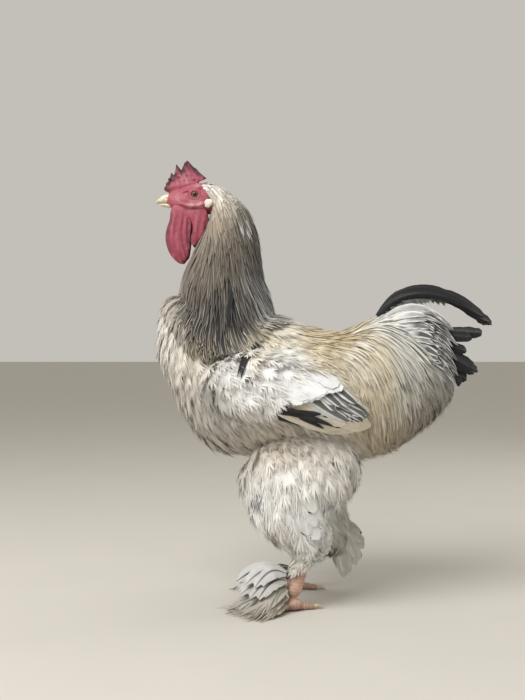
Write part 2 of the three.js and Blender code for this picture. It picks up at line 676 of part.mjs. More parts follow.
// Legs
function thighSkin({ side, hock: [hockX, hockZ] }) {
  const down = (share, x) => lerp(x, x + hockX + 12, smoothstep(share, 0, 1));
  const at = (share) => lerp(HIP.z, hockZ, share);
  return new Skin(
    mirrored(
      [
        { x: down(0, -38), y: 50, z: HIP.z + 26, wide: 0, over: 0, under: 0 },
        { x: down(0, -36), y: 50, z: HIP.z + 20, wide: 28, over: 66, under: 68 },
        { x: down(0, -34), y: HIP.y - 3, z: at(0), wide: 42, over: 88, under: 88 },
        { x: down(0.3, -34), y: HIP.y + 2, z: at(0.28), wide: 47, over: 84, under: 100 },
        { x: down(0.6, -42), y: HIP.y + 3, z: at(0.56), wide: 42, over: 52, under: 92 },
        { x: down(0.8, -44), y: STANCE, z: at(0.78), wide: 36, over: 48, under: 72 },
        { x: down(1, -38), y: STANCE, z: at(1), wide: 27, over: 42, under: 46 },
        { x: down(1, -32), y: STANCE, z: at(1.2), wide: 18, over: 36, under: 26 },
        { x: down(1, -22), y: STANCE, z: at(1.34), wide: 0, over: 0, under: 0 },
      ],
      side,
    ),
  );
}

function shankSkin({ side, hock, ankle }) {
  const at = (share) => ({
    x: lerp(hock[0], ankle[0], share),
    y: STANCE,
    z: lerp(hock[1], ankle[1], share),
  });
  const round = (share, r) => ({ ...at(share), wide: r, over: r, under: r });
  return new Skin(
    mirrored(
      [
        round(-0.1, 0),
        round(0, SHANK_RADIUS * 1.25),
        round(0.2, SHANK_RADIUS),
        round(0.7, SHANK_RADIUS * 0.95),
        round(0.95, SHANK_RADIUS * 1.15),
        round(1.08, 0),
      ],
      side,
    ),
  );
}

// A toe from its tip back to the pad: heading is 0 straight ahead and opens towards the middle of the bird
function toeLine({ length, heading }, { side, ankle: [ankleX] }) {
  const turn = degToRad(heading);
  return (share, z) => ({
    x: ankleX - Math.cos(turn) * length * share,
    y: side * STANCE - side * Math.sin(turn) * length * share,
    z,
  });
}

function hockFeathers({ side, hock: [hockX, hockZ], plume }) {
  return Array.from({ length: HOCK.count }, (_, i) => {
    const share = i / (HOCK.count - 1);
    const slope = degToRad(lerp(HOCK.from, HOCK.to, share));
    const y = side * (STANCE + HOCK.apart * ((i % 3) - 1));
    const length = plume * lerp(HOCK.shortest, HOCK.longest, share);
    const path = (s) => {
      const x = hockX + HOCK.behind + Math.cos(slope) * length * s;
      const z = hockZ + HOCK.above - Math.sin(slope) * length * s;
      return { p: new THREE.Vector3(x, y, z), n: new THREE.Vector3(0, side, 0) };
    };
    return vane(path, HOCK_VANE);
  });
}

function sleeveFeathers({ side, hock, ankle }) {
  return Array.from({ length: SLEEVE.count }, (_, i) => {
    const share = lerp(SLEEVE.from, SLEEVE.to, i / (SLEEVE.count - 1));
    const [x, z] = mixed(hock, ankle, share);
    const path = (s) => {
      const out = STANCE + SLEEVE.out + SLEEVE.flare * s ** 0.7 + (i % 2);
      return {
        p: new THREE.Vector3(x - SLEEVE.ahead * s, side * out, z - SLEEVE.drop * s),
        n: new THREE.Vector3(-0.3, side, 0.1).normalize(),
      };
    };
    return vane(path, SLEEVE_VANE);
  });
}

function fanFeathers({ side, ankle: [ankleX], reach }) {
  return FAN_LAYERS.flatMap(({ count, rootZ, tipZ, arch, share: part }) =>
    Array.from({ length: count }, (_, i) => {
      const share = i / (count - 1);
      const turn = degToRad(lerp(0, FAN.to, share));
      const length = lerp(FAN.longest * reach, FAN.shortest, share) * part;
      const path = (s) => {
        const far = FAN.start + length * s;
        const out = STANCE + FAN.out + Math.sin(turn) * far + FAN.flare * s;
        const z = lerp(rootZ, tipZ, s) + arch * Math.sin(Math.PI * s);
        return {
          p: new THREE.Vector3(ankleX - Math.cos(turn) * far, side * out, z),
          n: new THREE.Vector3(0, side * 0.6, 0.8).normalize(),
        };
      };
      return vane(path, FAN_VANE);
    }),
  );
}

function toeSkin(toe, leg) {
  const at = toeLine(toe, leg);
  const stations = [
    { ...at(1.02, 4), wide: 0, over: 0, under: 0 },
    { ...at(0.98, 4), wide: TOE_TIP * 0.8, over: TOE_TIP * 0.9, under: TOE_TIP },
    { ...at(0.7, 5), wide: TOE_TIP, over: TOE_TIP, under: TOE_TIP * 1.2 },
    { ...at(0.4, 6), wide: TOE_ROOT * 0.9, over: TOE_ROOT, under: TOE_ROOT },
    { ...at(0.1, 9), wide: TOE_ROOT, over: TOE_ROOT, under: TOE_ROOT },
    { ...at(0, 11), wide: 0, over: 0, under: 0 },
  ];
  return toe.name === "hind" ? new Skin([...stations].reverse()) : new Skin(stations);
}

function clawSkin(toe, leg, grow = 0) {
  const at = toeLine(toe, leg);
  const reach = CLAW.length / toe.length;
  const r = CLAW.radius;
  const stations = [
    { ...at(1 + reach, 0.8), wide: 0, over: 0, under: 0 },
    { ...at(1 + reach * 0.85, 2.2), wide: r * 0.35, over: r * 0.45, under: r * 0.3 },
    { ...at(1 + reach * 0.5, 4.6), wide: r * 0.7, over: r * 0.8, under: r * 0.6 },
    { ...at(1.03, CLAW.high), wide: r * 0.9, over: r, under: r * 0.9 },
    { ...at(0.97, CLAW.high), wide: r * 0.8, over: r * 0.8, under: r * 0.8 },
    { ...at(0.96, CLAW.high), wide: 0, over: 0, under: 0 },
  ];
  return new Skin(toe.name === "hind" ? [...stations].reverse() : stations).solid(5, 5, grow);
}

const nearFloor = solidOf(new THREE.BoxGeometry(900, 900, 100).translate(0, 0, -49));
for (const [name, leg] of Object.entries(LEGS)) {
  const { side, ankle } = leg;
  const thigh = thighSkin(leg);
  const thighGrown = thigh.solid(11, 14, GAP);
  const shank = shankSkin(leg);
  const shankGrown = shank.solid(8, 8, GAP);
  // Only the feathers are cut clear of the shank, which itself ends where it meets the thigh
  const plumes = without(joined(hockFeathers(leg)), shankGrown);
  const thighWhole = joined(thigh.solid(11, 14), plumes);
  node(`thigh_${name}`, largest(without(thighWhole, trunkGrown, wingsGrown)), "plumage");
  const shankWhole = joined(shank.solid(8, 8), sleeveFeathers(leg));
  node(`shank_${name}`, largest(without(shankWhole, thighGrown)), "scales");
  const { radius, high } = FOOT_PAD;
  const pad = ellipsoid(ankle[0], side * STANCE, high - 2, radius, radius, high, 10);
  const toes = TOES.map((toe) => toeSkin(toe, leg).solid(6, 6));
  const fan = without(joined(fanFeathers(leg)), nearFloor);
  const clawsGrown = TOES.map((toe) => clawSkin(toe, leg, GAP));
  const foot = largest(without(joined(pad, toes, fan), belowFloor, shankGrown, clawsGrown));
  node(`foot_${name}`, foot, "scales");
  for (const toe of TOES) {
    node(`claw_${name}_${toe.name}`, largest(without(clawSkin(toe, leg), belowFloor)), "claw");
  }
}

export default group;
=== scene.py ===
"""A Brahma cock, life size and standing still: its skin, its horn and its coat.

Each feather stands for several real ones. Sizes are millimetres of the bird unless a name or comment says
otherwise, and MM turns them into metres. The bird faces -X, its left side is towards -Y and the floor is
at Z = 0.
"""

import math

import bpy
import numpy as np
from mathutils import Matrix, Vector
from mathutils.bvhtree import BVHTree


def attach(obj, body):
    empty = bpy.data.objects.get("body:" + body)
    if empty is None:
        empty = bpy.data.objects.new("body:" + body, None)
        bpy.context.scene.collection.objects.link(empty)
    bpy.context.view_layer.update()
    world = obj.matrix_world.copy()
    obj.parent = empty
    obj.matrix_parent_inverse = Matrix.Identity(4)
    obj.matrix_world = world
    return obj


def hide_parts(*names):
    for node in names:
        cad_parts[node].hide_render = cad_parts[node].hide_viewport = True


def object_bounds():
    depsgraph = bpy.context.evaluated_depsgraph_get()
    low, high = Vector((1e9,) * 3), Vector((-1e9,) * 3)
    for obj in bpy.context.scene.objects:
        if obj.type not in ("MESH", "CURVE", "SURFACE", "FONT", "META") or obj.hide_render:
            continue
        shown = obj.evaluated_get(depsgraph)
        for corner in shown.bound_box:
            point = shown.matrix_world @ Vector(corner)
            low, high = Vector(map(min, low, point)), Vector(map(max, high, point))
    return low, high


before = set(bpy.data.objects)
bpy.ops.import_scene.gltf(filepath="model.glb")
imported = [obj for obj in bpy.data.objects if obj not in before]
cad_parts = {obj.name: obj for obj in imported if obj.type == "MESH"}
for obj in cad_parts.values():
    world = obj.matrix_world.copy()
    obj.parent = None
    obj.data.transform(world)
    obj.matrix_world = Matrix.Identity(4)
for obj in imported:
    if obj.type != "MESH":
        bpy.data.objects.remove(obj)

bl_info = {
    "name": "Brahma Cock Dresser",
    "version": (1, 0, 0),
    "blender": (4, 5, 0),
    "location": "View3D > Sidebar > Bird",
    "description": "Dresses a plain life-size cock with skin, horn and feathers",
    "category": "Object",
}

CAD_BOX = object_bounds()
MEASURED_HEIGHT = 680.0  # the height that the sizes below were measured for
MM = (CAD_BOX[1].z - CAD_BOX[0].z) / MEASURED_HEIGHT
LEFT, RIGHT = -1, 1
SIDES = {"left": LEFT, "right": RIGHT}
SEED = 20


# Colours: sRGB hex values, turned to linear light by one function
def linear(hex_value):
    channels = [(hex_value >> shift & 255) / 255 for shift in (16, 8, 0)]
    return [c / 12.92 if c <= 0.04045 else ((c + 0.055) / 1.055) ** 2.4 for c in channels]


def rgb(hex_value):
    return np.array(linear(hex_value))


WHITE = 0xF1EFEA
COLD_WHITE = 0xEDEFF2
SLATE = 0x41454F
BLACK = 0x121317
FACE_RED = 0xA95463
FACE_PALE = 0xCF949A
WATTLE_RED = 0x9A3F51
COMB_PURPLE = 0x33202A
LEG_PINK = 0xC2A08E


def lerp(a, b, t):
    return a + (b - a) * t


def unit(vectors):
    return vectors / np.maximum(np.linalg.norm(vectors, axis=-1, keepdims=True), 1e-9)


def through(points, place):
    """A smooth curve through points, at places counted along them: 0 is the first and 1 the next."""
    last = len(points) - 1
    i = np.minimum(np.floor(place).astype(int), last - 1)
    t = (place - i)[..., None]
    a, b, c, d = (points[np.clip(i + k, 0, last)] for k in (-1, 0, 1, 2))
    return b + 0.5 * t * (c - a + t * (2 * a - 5 * b + 4 * c - d + t * (3 * (b - c) + d - a)))


NUDGE = 0.01  # share of a spine over which its direction is found


# Forms of the body. Each station is x, y, z, half the width, the reach over and the reach under its spine
class Form:
    """A closed form round a spine through its stations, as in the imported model.

    The coat's depth is taken off its reaches, but never more than half of them.
    """

    def __init__(self, stations, upright=False, square=1.0, coat=0.0, side=RIGHT):
        table = np.array(stations, float)
        table[:, 1] *= side
        depth = table[:, 6:7] if table.shape[1] > 6 else coat
        reach = table[:, 3:6]
        table[:, 3:6] = np.maximum(reach - depth, reach / 2)
        self.table = table[:, :6]
        self.upright, self.square = upright, square

    def measures(self, u):
        return through(self.table, np.clip(u, 0, 1) * (len(self.table) - 1))

    def point(self, u, turn):
        """The place on the form in millimetres. turn is 0 over the spine, a quarter turn on the right."""
        u, turn = np.broadcast_arrays(np.asarray(u, float), np.asarray(turn, float))
        here = self.measures(u)
        before = self.measures(np.maximum(u - NUDGE, 0))
        after = self.measures(np.minimum(u + NUDGE, 1))
        ahead = unit((after - before)[..., :3])
        across = np.zeros_like(ahead)
        across[..., 1] = 1
        if self.upright:
            over = np.zeros_like(ahead)
            over[..., 2] = 1
        else:
            across = unit(across - ahead * ahead[..., 1:2])
            over = np.cross(ahead, across)
        c, s = np.cos(turn), np.sin(turn)
        c, s = (np.sign(v) * np.abs(v) ** self.square for v in (c, s))
        high = np.where(c > 0, here[..., 4], here[..., 5])
        return here[..., :3] + over * (c * high)[..., None] + across * (s * here[..., 3])[..., None]

    def mesh(self, rings, sides):
        """Vertices in millimetres and triangles of the closed form."""
        u = np.linspace(0, 1, rings + 1)[1:-1]
        turn = np.linspace(0, 2 * math.pi, sides, endpoint=False)
        body = self.point(u[:, None], turn[None, :]).reshape(-1, 3)
        return np.vstack([body, self.table[[0, -1], :3]]), wound(rings - 1, sides)


def wound(rings, sides):
    """Triangles over rings of points, with the two end points last."""
    i, j = np.meshgrid(np.arange(rings - 1), np.arange(sides), indexing="ij")
    a, b = i * sides + j, i * sides + (j + 1) % sides
    c, d = a + sides, b + sides
    walls = np.concatenate([np.stack([a, c, d], -1).reshape(-1, 3), np.stack([a, d, b], -1).reshape(-1, 3)])
    j = np.arange(sides)
    k = (j + 1) % sides
    first, last, foot = rings * sides, rings * sides + 1, (rings - 1) * sides
    start = np.stack([0 * j + first, j, k], 1)
    end = np.stack([0 * j + last, foot + k, foot + j], 1)
    return np.vstack([walls, start, end])


TRUNK_STATIONS = [
    (-248, 0, 392, 0, 0, 0),
    (-243, 0, 392, 36, 66, 40),
    (-226, 0, 384, 62, 90, 62),
    (-195, 0, 364, 82, 96, 106),
    (-160, 0, 350, 94, 100, 124),
    (-110, 0, 340, 100, 106, 118),
    (-60, 0, 335, 102, 103, 114),
    (-10, 0, 330, 101, 89, 112),
    (35, 0, 328, 97, 89, 110),
    (75, 0, 330, 88, 104, 110),
    (115, 0, 338, 72, 88, 98),
    (150, 0, 340, 56, 62, 75),
    (180, 0, 340, 36, 42, 45),
    (196, 0, 340, 16, 20, 20),
    (200, 0, 340, 0, 0, 0),
]
CAPE_STATIONS = [  # the last number is the depth of the hackle on the neck
    (-192, 0, 642, 0, 0, 0, 0),
    (-184, 0, 636, 17, 13, 6, 3),
    (-168, 0, 616, 28, 30, 14, 6),
    (-155, 0, 588, 36, 47, 34, 8),
    (-153, 0, 556, 44, 58, 46, 10),
    (-156, 0, 520, 53, 66, 61, 12),
    (-157, 0, 482, 63, 72, 71, 13),
    (-150, 0, 440, 72, 78, 72, 14),
    (-146, 0, 400, 80, 72, 62, 14),
    (-143, 0, 350, 88, 64, 54, 14),
    (-143, 0, 344, 0, 0, 0, 0),
]
WING_STATIONS = [
    (-168, 88, 348, 0, 0, 0),
    (-160, 89, 346, 9, 20, 24),
    (-130, 92, 338, 13, 34, 36),
    (-80, 93, 330, 14, 40, 38),
    (-30, 92, 316, 13, 36, 32),
    (15, 89, 300, 10, 26, 24),
    (40, 86, 290, 5, 14, 14),
    (46, 86, 288, 0, 0, 0),
]
TAIL_STATIONS = [
    (74, 0, 420, 0, 0, 0),
    (86, 0, 420, 18, 15, 18),
    (112, 0, 416, 24, 24, 30),
    (142, 0, 400, 22, 27, 36),
    (168, 0, 382, 14, 19, 27),
    (184, 0, 372, 0, 0, 0),
]
HEAD_STATIONS = [
    (-244, 0, 617, 0, 0, 0),
    (-240, 0, 617, 8.5, 12, 8),
    (-228, 0, 616, 13, 18, 13),
    (-213, 0, 616, 17, 22, 17),
    (-197, 0, 617, 20, 26, 20),
    (-180, 0, 618, 20, 26, 22),
    (-167, 0, 614, 15, 20, 18),
    (-160, 0, 611, 0, 0, 0),
]
UPPER_BEAK_STATIONS = [
    (-231, 0, 619, 0, 0, 0),
    (-233, 0, 620, 8, 6, 8),
    (-241, 0, 619.5, 7, 6.3, 8.6),
    (-250, 0, 617, 4.8, 3.7, 6.6),
    (-257, 0, 613.8, 2.3, 2, 3.2),
    (-260.5, 0, 611.3, 0, 0, 0),
]
LOWER_BEAK_STATIONS = [
    (-230, 0, 609.5, 0, 0, 0),
    (-232, 0, 609.6, 6.6, 3.6, 3),
    (-242, 0, 609.8, 5.6, 3.2, 3),
    (-251, 0, 610.4, 3.2, 1.8, 1.8),
    (-256, 0, 610.9, 0, 0, 0),
]
WATTLE_FRONT = [
    (-216, 9, 612, 0, 0, 0),
    (-217, 10, 604, 3.2, 17, 17),
    (-220, 12, 583, 3.4, 18, 18),
    (-224, 13.5, 560, 3.7, 19, 20),
    (-223, 13.5, 540, 4.2, 17, 16),
    (-219, 12.5, 526, 3.6, 11, 9),
    (-216, 12, 520, 0, 0, 0),
]
WATTLE_REAR = [
    (-195, 12, 609, 0, 0, 0),
    (-194, 13, 602, 4, 12, 17),
    (-190, 16, 588, 3.4, 12, 15),
    (-191, 17.5, 572, 3.2, 10, 11),
    (-196, 18, 560, 3.2, 8, 8),
    (-200, 17.5, 550, 2.6, 5, 5),
    (-202, 17, 546, 0, 0, 0),
]
CHEEK_FOLD = [
    (-226, 11.5, 611.5, 0, 0, 0),
    (-220, 14.5, 610.5, 1.6, 1.8, 1.8),
    (-208, 17.6, 607.5, 2.4, 2.4, 2.4),
    (-195, 19.6, 607, 2.8, 2.8, 2.8),
    (-183, 20.0, 611, 2.2, 2.4, 2.4),
    (-177, 19.0, 615, 0, 0, 0),
]
BROW_FOLD = [
    (-222, 11.5, 626, 0, 0, 0),
    (-214, 14.8, 629.5, 1.6, 2.0, 2.0),
    (-203, 17.0, 633.5, 2.2, 2.4, 2.4),
    (-192, 17.0, 634.5, 2.2, 2.4, 2.4),
    (-183, 15.5, 631, 0, 0, 0),
]
COMB_FOOT = [
    (-246, 0, 634, 0, 0, 0),
    (-243, 0, 635, 4, 5, 5),
    (-232, 0, 638, 5.6, 7, 8),
    (-216, 0, 641, 6, 7, 8),
    (-202, 0, 643, 5, 5, 6),
    (-192, 0, 647, 0, 0, 0),
]
COMB_POINTS = [
    (-241, 641), (-239, 648), (-236, 661), (-231, 656), (-228, 674), (-220, 664), (-216, 675),
    (-211, 680), (-202, 670), (-197, 667), (-191, 660), (-181, 652), (-193, 647), (-202, 641), (-205, 632),
]
COMB_MIDDLE = (-214, 652)
COMB_THICK = 6.4
COMB_TIP_THICK = 2.6
COMB_KNOBS = [  # x, z and radius of the beads along the comb's foot and front
    (-243, 636, 4.2), (-241, 643, 3.6), (-236, 639, 3.8), (-230, 643, 3.4), (-238, 650, 3.0),
    (-224, 645, 3.6), (-232, 650, 3.0), (-217, 648, 3.4), (-209, 648, 3.2), (-201, 650, 3.0),
    (-225, 654, 2.8), (-213, 657, 2.8),
]
EYE = {"x": -198.0, "y": 17.2, "z": 624.0, "radius": 5.7}
LID_RINGS = [(7.2, 1.9, 2.2), (9.8, 1.5, 0.4)]  # radius, thickness and how far out of the eye's middle
LID_SQUASH = 0.9  # height of a lid against its length
EARLOBE = {"x": -176.5, "y": 20.8, "z": 610.8, "half": (7.6, 3.4, 6.4)}
STANCE = 65.0  # from the middle of the bird to the middle of each foot
LEGS = {
    "left": {"side": LEFT, "hock": (-12, 120), "ankle": (-50, 24), "plume": 52},
    "right": {"side": RIGHT, "hock": (32, 104), "ankle": (-40, 24), "plume": 84},
}
HIP = {"x": -34.0, "z": 232.0, "y": 58.0}
MEASURED_HOCK_X = -12.0  # where the hock was when the thigh's stations were measured
SHANK_RADIUS = 9.5
TOES = {"inner": (58, 30), "middle": (76, 2), "outer": (62, -30), "hind": (34, 168)}  # length, heading
CLAW = {"length": 15.0, "radius": 3.4, "high": 5.0}


def thigh_form(leg, coat):
    """A thigh from inside the body down to its hock, bent back as far as the hock lies back."""
    hock_x, hock_z = leg["hock"]
    x, y, z = HIP["x"], HIP["y"], HIP["z"]

    def at(share):
        return lerp(z, hock_z, share)

    def back(share):
        return (hock_x - MEASURED_HOCK_X) * share**2 * (3 - 2 * share)

    stations = [
        (x - 4, 50, z + 26, 0, 0, 0),
        (x - 2, 50, z + 20, 28, 66, 68),
        (x, y - 3, at(0), 42, 88, 88),
        (x + back(0.3), y + 2, at(0.28), 47, 84, 100),
        (x - 8 + back(0.6), y + 3, at(0.56), 42, 52, 92),
        (x - 10 + back(0.8), STANCE, at(0.78), 36, 48, 72),
        (x - 4 + back(1), STANCE, at(1), 27, 42, 46),
        (x + 2 + back(1), STANCE, at(1.2), 18, 36, 26),
        (x + 12 + back(1), STANCE, at(1.34), 0, 0, 0),
    ]
    return Form(stations, coat=coat, side=leg["side"])


def shank_form(leg):
    sizes = [(-0.1, 0), (0, 1.25), (0.2, 1), (0.7, 0.95), (0.95, 1.15), (1.08, 0)]
    rows = []
    for share, r in sizes:
        x, z = (lerp(h, a, share) for h, a in zip(leg["hock"], leg["ankle"]))
        rows.append((x, STANCE, z, r * SHANK_RADIUS, r * SHANK_RADIUS, r * SHANK_RADIUS))
    return Form(rows, side=leg["side"])


def toe_place(leg, toe, share, z):
    """A place along a toe as on the right side, where share 1 is the start of its claw."""
    length, heading = TOES[toe]
    turn = math.radians(heading)
    return leg["ankle"][0] - math.cos(turn) * length * share, STANCE - math.sin(turn) * length * share, z


def toe_form(leg, toe):
    rows = [(1.02, 4, 0), (0.98, 4, 4.4), (0.84, 5, 5.6), (0.7, 5, 4.9), (0.55, 5.6, 6.4), (0.4, 6, 5.8),
            (0.24, 7.4, 7.4), (0.1, 9, 7.2), (0, 11, 0)]
    stations = [(*toe_place(leg, toe, share, z), r, r, min(r, z - 0.6)) for share, z, r in rows]
    return Form(stations, side=leg["side"])


def claw_form(leg, toe):
    reach = CLAW["length"] / TOES[toe][0]
    r, high = CLAW["radius"], CLAW["high"]
    rows = [(1 + reach, 0.8, 0), (1 + reach * 0.85, 2.2, 0.35), (1 + reach * 0.5, 4.0, 0.7),
            (1.03, 4.6, 0.95), (0.97, high, 0.8), (0.93, high, 0)]
    stations = [(*toe_place(leg, toe, share, z), r * k, r * k, min(r * k, z - 0.5)) for share, z, k in rows]
    return Form(stations, side=leg["side"])


# Lie of the coat: at each place feathers point along the vector beside it. The places are on the right
# side or near the middle, and the left side mirrors them
LIE = [
    ((-176, 20, 634), (0.7, 0.2, -0.7)),
    ((-165, 30, 600), (0.25, 0.1, -1)),
    ((-150, 45, 560), (0.05, 0.1, -1)),
    ((-105, 10, 570), (0.3, 0, -1)),
    ((-92, 10, 520), (0.05, 0, -1)),
    ((-200, 10, 545), (-0.1, 0, -1)),
    ((-155, 60, 500), (0, 0.1, -1)),
    ((-215, 20, 470), (-0.3, 0.1, -1)),
    ((-205, 50, 430), (-0.2, 0.1, -1)),
    ((-150, 80, 430), (0.05, 0.1, -1)),
    ((-80, 20, 470), (0.7, 0, -0.7)),
    ((-75, 60, 440), (0.55, 0.1, -0.8)),
    ((-244, 10, 420), (-0.05, 0, -1)),
    ((-240, 10, 360), (0.15, 0, -1)),
    ((-215, 60, 390), (0.15, 0.1, -1)),
    ((-210, 60, 320), (0.4, 0, -0.9)),
    ((-205, 10, 280), (0.6, 0, -0.8)),
    ((-160, 70, 270), (0.6, 0, -0.8)),
    ((-150, 10, 232), (1, 0, -0.2)),
    ((-60, 10, 220), (1, 0, 0)),
    ((60, 10, 222), (1, 0, 0)),
    ((-60, 95, 270), (0.5, 0, -0.85)),
    ((-130, 90, 370), (0.6, 0, -0.75)),
    ((-60, 90, 370), (0.75, 0, -0.65)),
    ((0, 95, 300), (0.7, 0, -0.7)),
    ((-30, 20, 430), (1, 0, -0.15)),
    ((0, 60, 400), (0.85, 0.1, -0.5)),
    ((40, 20, 420), (1, 0, 0)),
    ((80, 15, 440), (1, 0, 0.1)),
    ((40, 80, 380), (0.45, 0.1, -0.9)),
    ((85, 60, 390), (0.4, 0.1, -0.9)),
    ((90, 80, 320), (0.15, 0, -1)),
    ((120, 55, 380), (0.5, 0, -0.85)),
    ((130, 60, 300), (0.25, 0, -1)),
    ((165, 30, 370), (0.7, 0, -0.7)),
    ((180, 20, 320), (0.5, 0, -0.85)),
    ((150, 20, 270), (0.4, 0, -0.9)),
    ((60, 85, 250), (0.15, 0, -1)),
    ((-50, 105, 210), (0.1, 0, -1)),
    ((-125, 60, 200), (0, 0, -1)),
    ((-120, 60, 160), (0.3, 0, -0.95)),
    ((50, 60, 200), (0.35, 0, -0.95)),
    ((-60, 100, 150), (0.2, 0, -1)),
    ((-10, 60, 120), (0.5, 0, -0.85)),
    ((0, 25, 190), (0.2, 0, -1)),
    ((40, 90, 130), (0.5, 0, -0.85)),
]
LIE_REACH = 34.0  # how far round each place its lie is felt

# Patches of plumage colour as the bird is seen from its side: x, z, radius and colour
PATCHES = [
    (-180, 642, 15, 0xE4E3DE),  # silver behind the comb
    (-162, 628, 17, 0xE0DFDA),
    (-146, 602, 19, 0xBDB7AD),
    (-172, 590, 17, 0xB3AB9F),
    (-162, 562, 20, 0xA89D8F),
    (-112, 572, 22, 0x5F574D),  # dark rear of the neck
    (-104, 530, 24, 0x564E45),
    (-138, 545, 20, 0x7C7266),
    (-196, 530, 18, 0x9A9084),
    (-160, 500, 26, 0x7F766B),
    (-205, 470, 22, 0x857C71),
    (-165, 450, 26, 0x6F675E),
    (-165, 400, 26, 0x5D564E),
    (-130, 440, 22, 0x706B66),
    (-98, 486, 17, 0x8C9299),  # bluish lines sweeping back off the neck
    (-84, 450, 17, 0xB4BBC2),
    (-62, 436, 14, 0xD8DBDC),
    (-246, 460, 22, 0xEAE7E0),  # pale fluffy breast
    (-246, 400, 26, 0xE6E1D7),
    (-240, 350, 26, 0xD6CEC0),
    (-222, 300, 26, 0xCEC5B7),
    (-196, 250, 28, 0xBDB3A4),
    (-150, 232, 28, 0xB7ADA0),
    (-182, 380, 20, 0xE4D9C0),  # straw at the shoulder
    (-196, 345, 18, 0xD8D1C4),
    (-158, 296, 20, 0xB3AEA6),  # painted shade: grey below the front of the wing, where its shadow falls on the body
    (-172, 325, 14, 0xA9A6A0),
    (-120, 262, 22, 0xC9C0B1),
    (-60, 262, 24, 0xD2C9BA),
    (-140, 350, 20, 0xF0EEEA),
    (-105, 330, 24, 0xF4F3F1),  # white puffs of the wing
    (-112, 375, 18, 0xE9E3D4),
    (-72, 360, 22, 0xF3F3F2),
    (-80, 396, 18, 0xE8DFC8),
    (-50, 425, 20, 0xE9E2D0),
    (-10, 420, 22, 0xD3BF94),  # straw back
    (25, 410, 22, 0xC9B283),
    (45, 425, 16, 0xD7C5A0),
    (0, 375, 20, 0xDED2B8),
    (42, 372, 22, 0xE0D6BF),
    (68, 410, 18, 0xE4DDCB),
    (85, 385, 14, 0xCDBB95),  # long straw line from back to flank
    (92, 350, 14, 0xD6C8A9),
    (112, 372, 20, 0xE6E3DC),
    (70, 325, 22, 0xD6CAB0),
    (85, 285, 24, 0xCCBFA3),
    (60, 270, 20, 0xCEC2AA),
    (90, 235, 24, 0xB5A892),
    (110, 430, 20, 0xEBEAE6),  # white over the root of the tail
    (145, 430, 22, 0xE9E9E8),
    (130, 395, 20, 0xDEDCD6),
    (125, 340, 22, 0xC9C4B9),
    (160, 340, 20, 0xA9A59D),
    (180, 310, 20, 0x9A958D),
    (150, 285, 24, 0xA69F93),
    (120, 255, 22, 0xA79C8B),
    (-20, 232, 22, 0xE6DFD3),  # thighs
    (-75, 236, 22, 0xDDD2C0),
    (-115, 215, 20, 0xDDD4C6),
    (-128, 180, 18, 0xEBE8E1),
    (30, 212, 22, 0xE4DFD6),
    (55, 190, 20, 0xDDD9D0),
    (-70, 195, 22, 0xFAF9F6),
    (-20, 190, 20, 0xF4F1EB),
    (-100, 150, 20, 0xF8F6F2),
    (-55, 150, 22, 0xFBFAF8),
    (-10, 140, 20, 0xFAFAF9),
    (-75, 115, 18, 0xEAE5DC),
    (0, 90, 20, 0xE9E8E4),
    (45, 110, 22, 0xD9D4C9),
]
PATCH_FALL = 0.9  # how fast a patch fades beyond its radius
WHITE_SHARE = 0.02  # weight of white, which shows where no patch is near


def gap_to(points, x, z, radius):
    """Squared distance to a place seen from the side, counted in radii."""
    return ((points[..., 0] - x) ** 2 + (points[..., 2] - z) ** 2) / radius**2


def plumage_colour(points):
    """Ground colour of the plumage at places in millimetres, the same for skin and coat."""
    total = np.full(points.shape[:-1], WHITE_SHARE)
    blend = np.broadcast_to(rgb(WHITE) * WHITE_SHARE, points.shape).copy()
    for x, z, radius, hex_value in PATCHES:
        weight = np.exp(-PATCH_FALL * gap_to(points, x, z, radius))
        blend += weight[..., None] * rgb(hex_value)
        total += weight
    return blend / total[..., None]


# Where black shows along the shafts: x, z, radius and how strongly
MARKS = [
    (-166, 400, 34, 1.0),
    (-190, 425, 26, 0.9),
    (-132, 420, 26, 0.9),
    (-150, 455, 34, 0.75),
    (-205, 455, 22, 0.6),
    (-95, 455, 26, 0.8),
    (-105, 500, 26, 0.6),
    (-110, 560, 30, 0.45),
    (-150, 520, 34, 0.35),
    (160, 420, 22, 0.9),
    (178, 385, 24, 1.0),
    (150, 395, 24, 0.6),
    (128, 440, 18, 0.5),
    (185, 330, 24, 0.5),
]
MARK_FALL = 0.6  # how fast a mark fades beyond its radius


def marking(points):
    """How strongly the black streak along a feather's shaft shows at places in millimetres."""
    strength = np.zeros(points.shape[:-1])
    for x, z, radius, amount in MARKS:
        strength = np.maximum(strength, amount * np.exp(-MARK_FALL * gap_to(points, x, z, radius)))
    return strength


def lie_at(points):
    """Which way the coat lies at places in millimetres, before it is laid flat on the skin."""
    side = np.where(points[:, 1:2] < 0, -1.0, 1.0)
    here = points * np.where(np.arange(3) == 1, side, 1.0)
    total = np.zeros_like(here)
    for place, heading in LIE:
        gap = ((here - np.array(place, float)) ** 2).sum(-1) / LIE_REACH**2
        total += (np.exp(-0.5 * gap) + 1e-9)[:, None] * np.array(heading)
    total[:, 1:2] *= side
    return unit(total)


# Meshes from arrays
def join(parts):
    """One set of vertices and triangles from several."""
    verts, tris, start = [], [], 0
    for v, t in parts:
        verts.append(v)
        tris.append(t + start)
        start += len(v)
    return np.vstack(verts), np.vstack(tris)


def mesh_of(name, verts_mm, tris):
    mesh = bpy.data.meshes.new(name)
    mesh.vertices.add(len(verts_mm))
    mesh.vertices.foreach_set("co", (verts_mm * MM).astype(np.float32).ravel())
    mesh.loops.add(tris.size)
    mesh.loops.foreach_set("vertex_index", tris.astype(np.int32).ravel())
    mesh.polygons.add(len(tris))
    mesh.polygons.foreach_set("loop_start", np.arange(0, tris.size, 3, dtype=np.int32))
    mesh.polygons.foreach_set("use_smooth", np.ones(len(tris), bool))
    mesh.update(calc_edges=True)
    return mesh


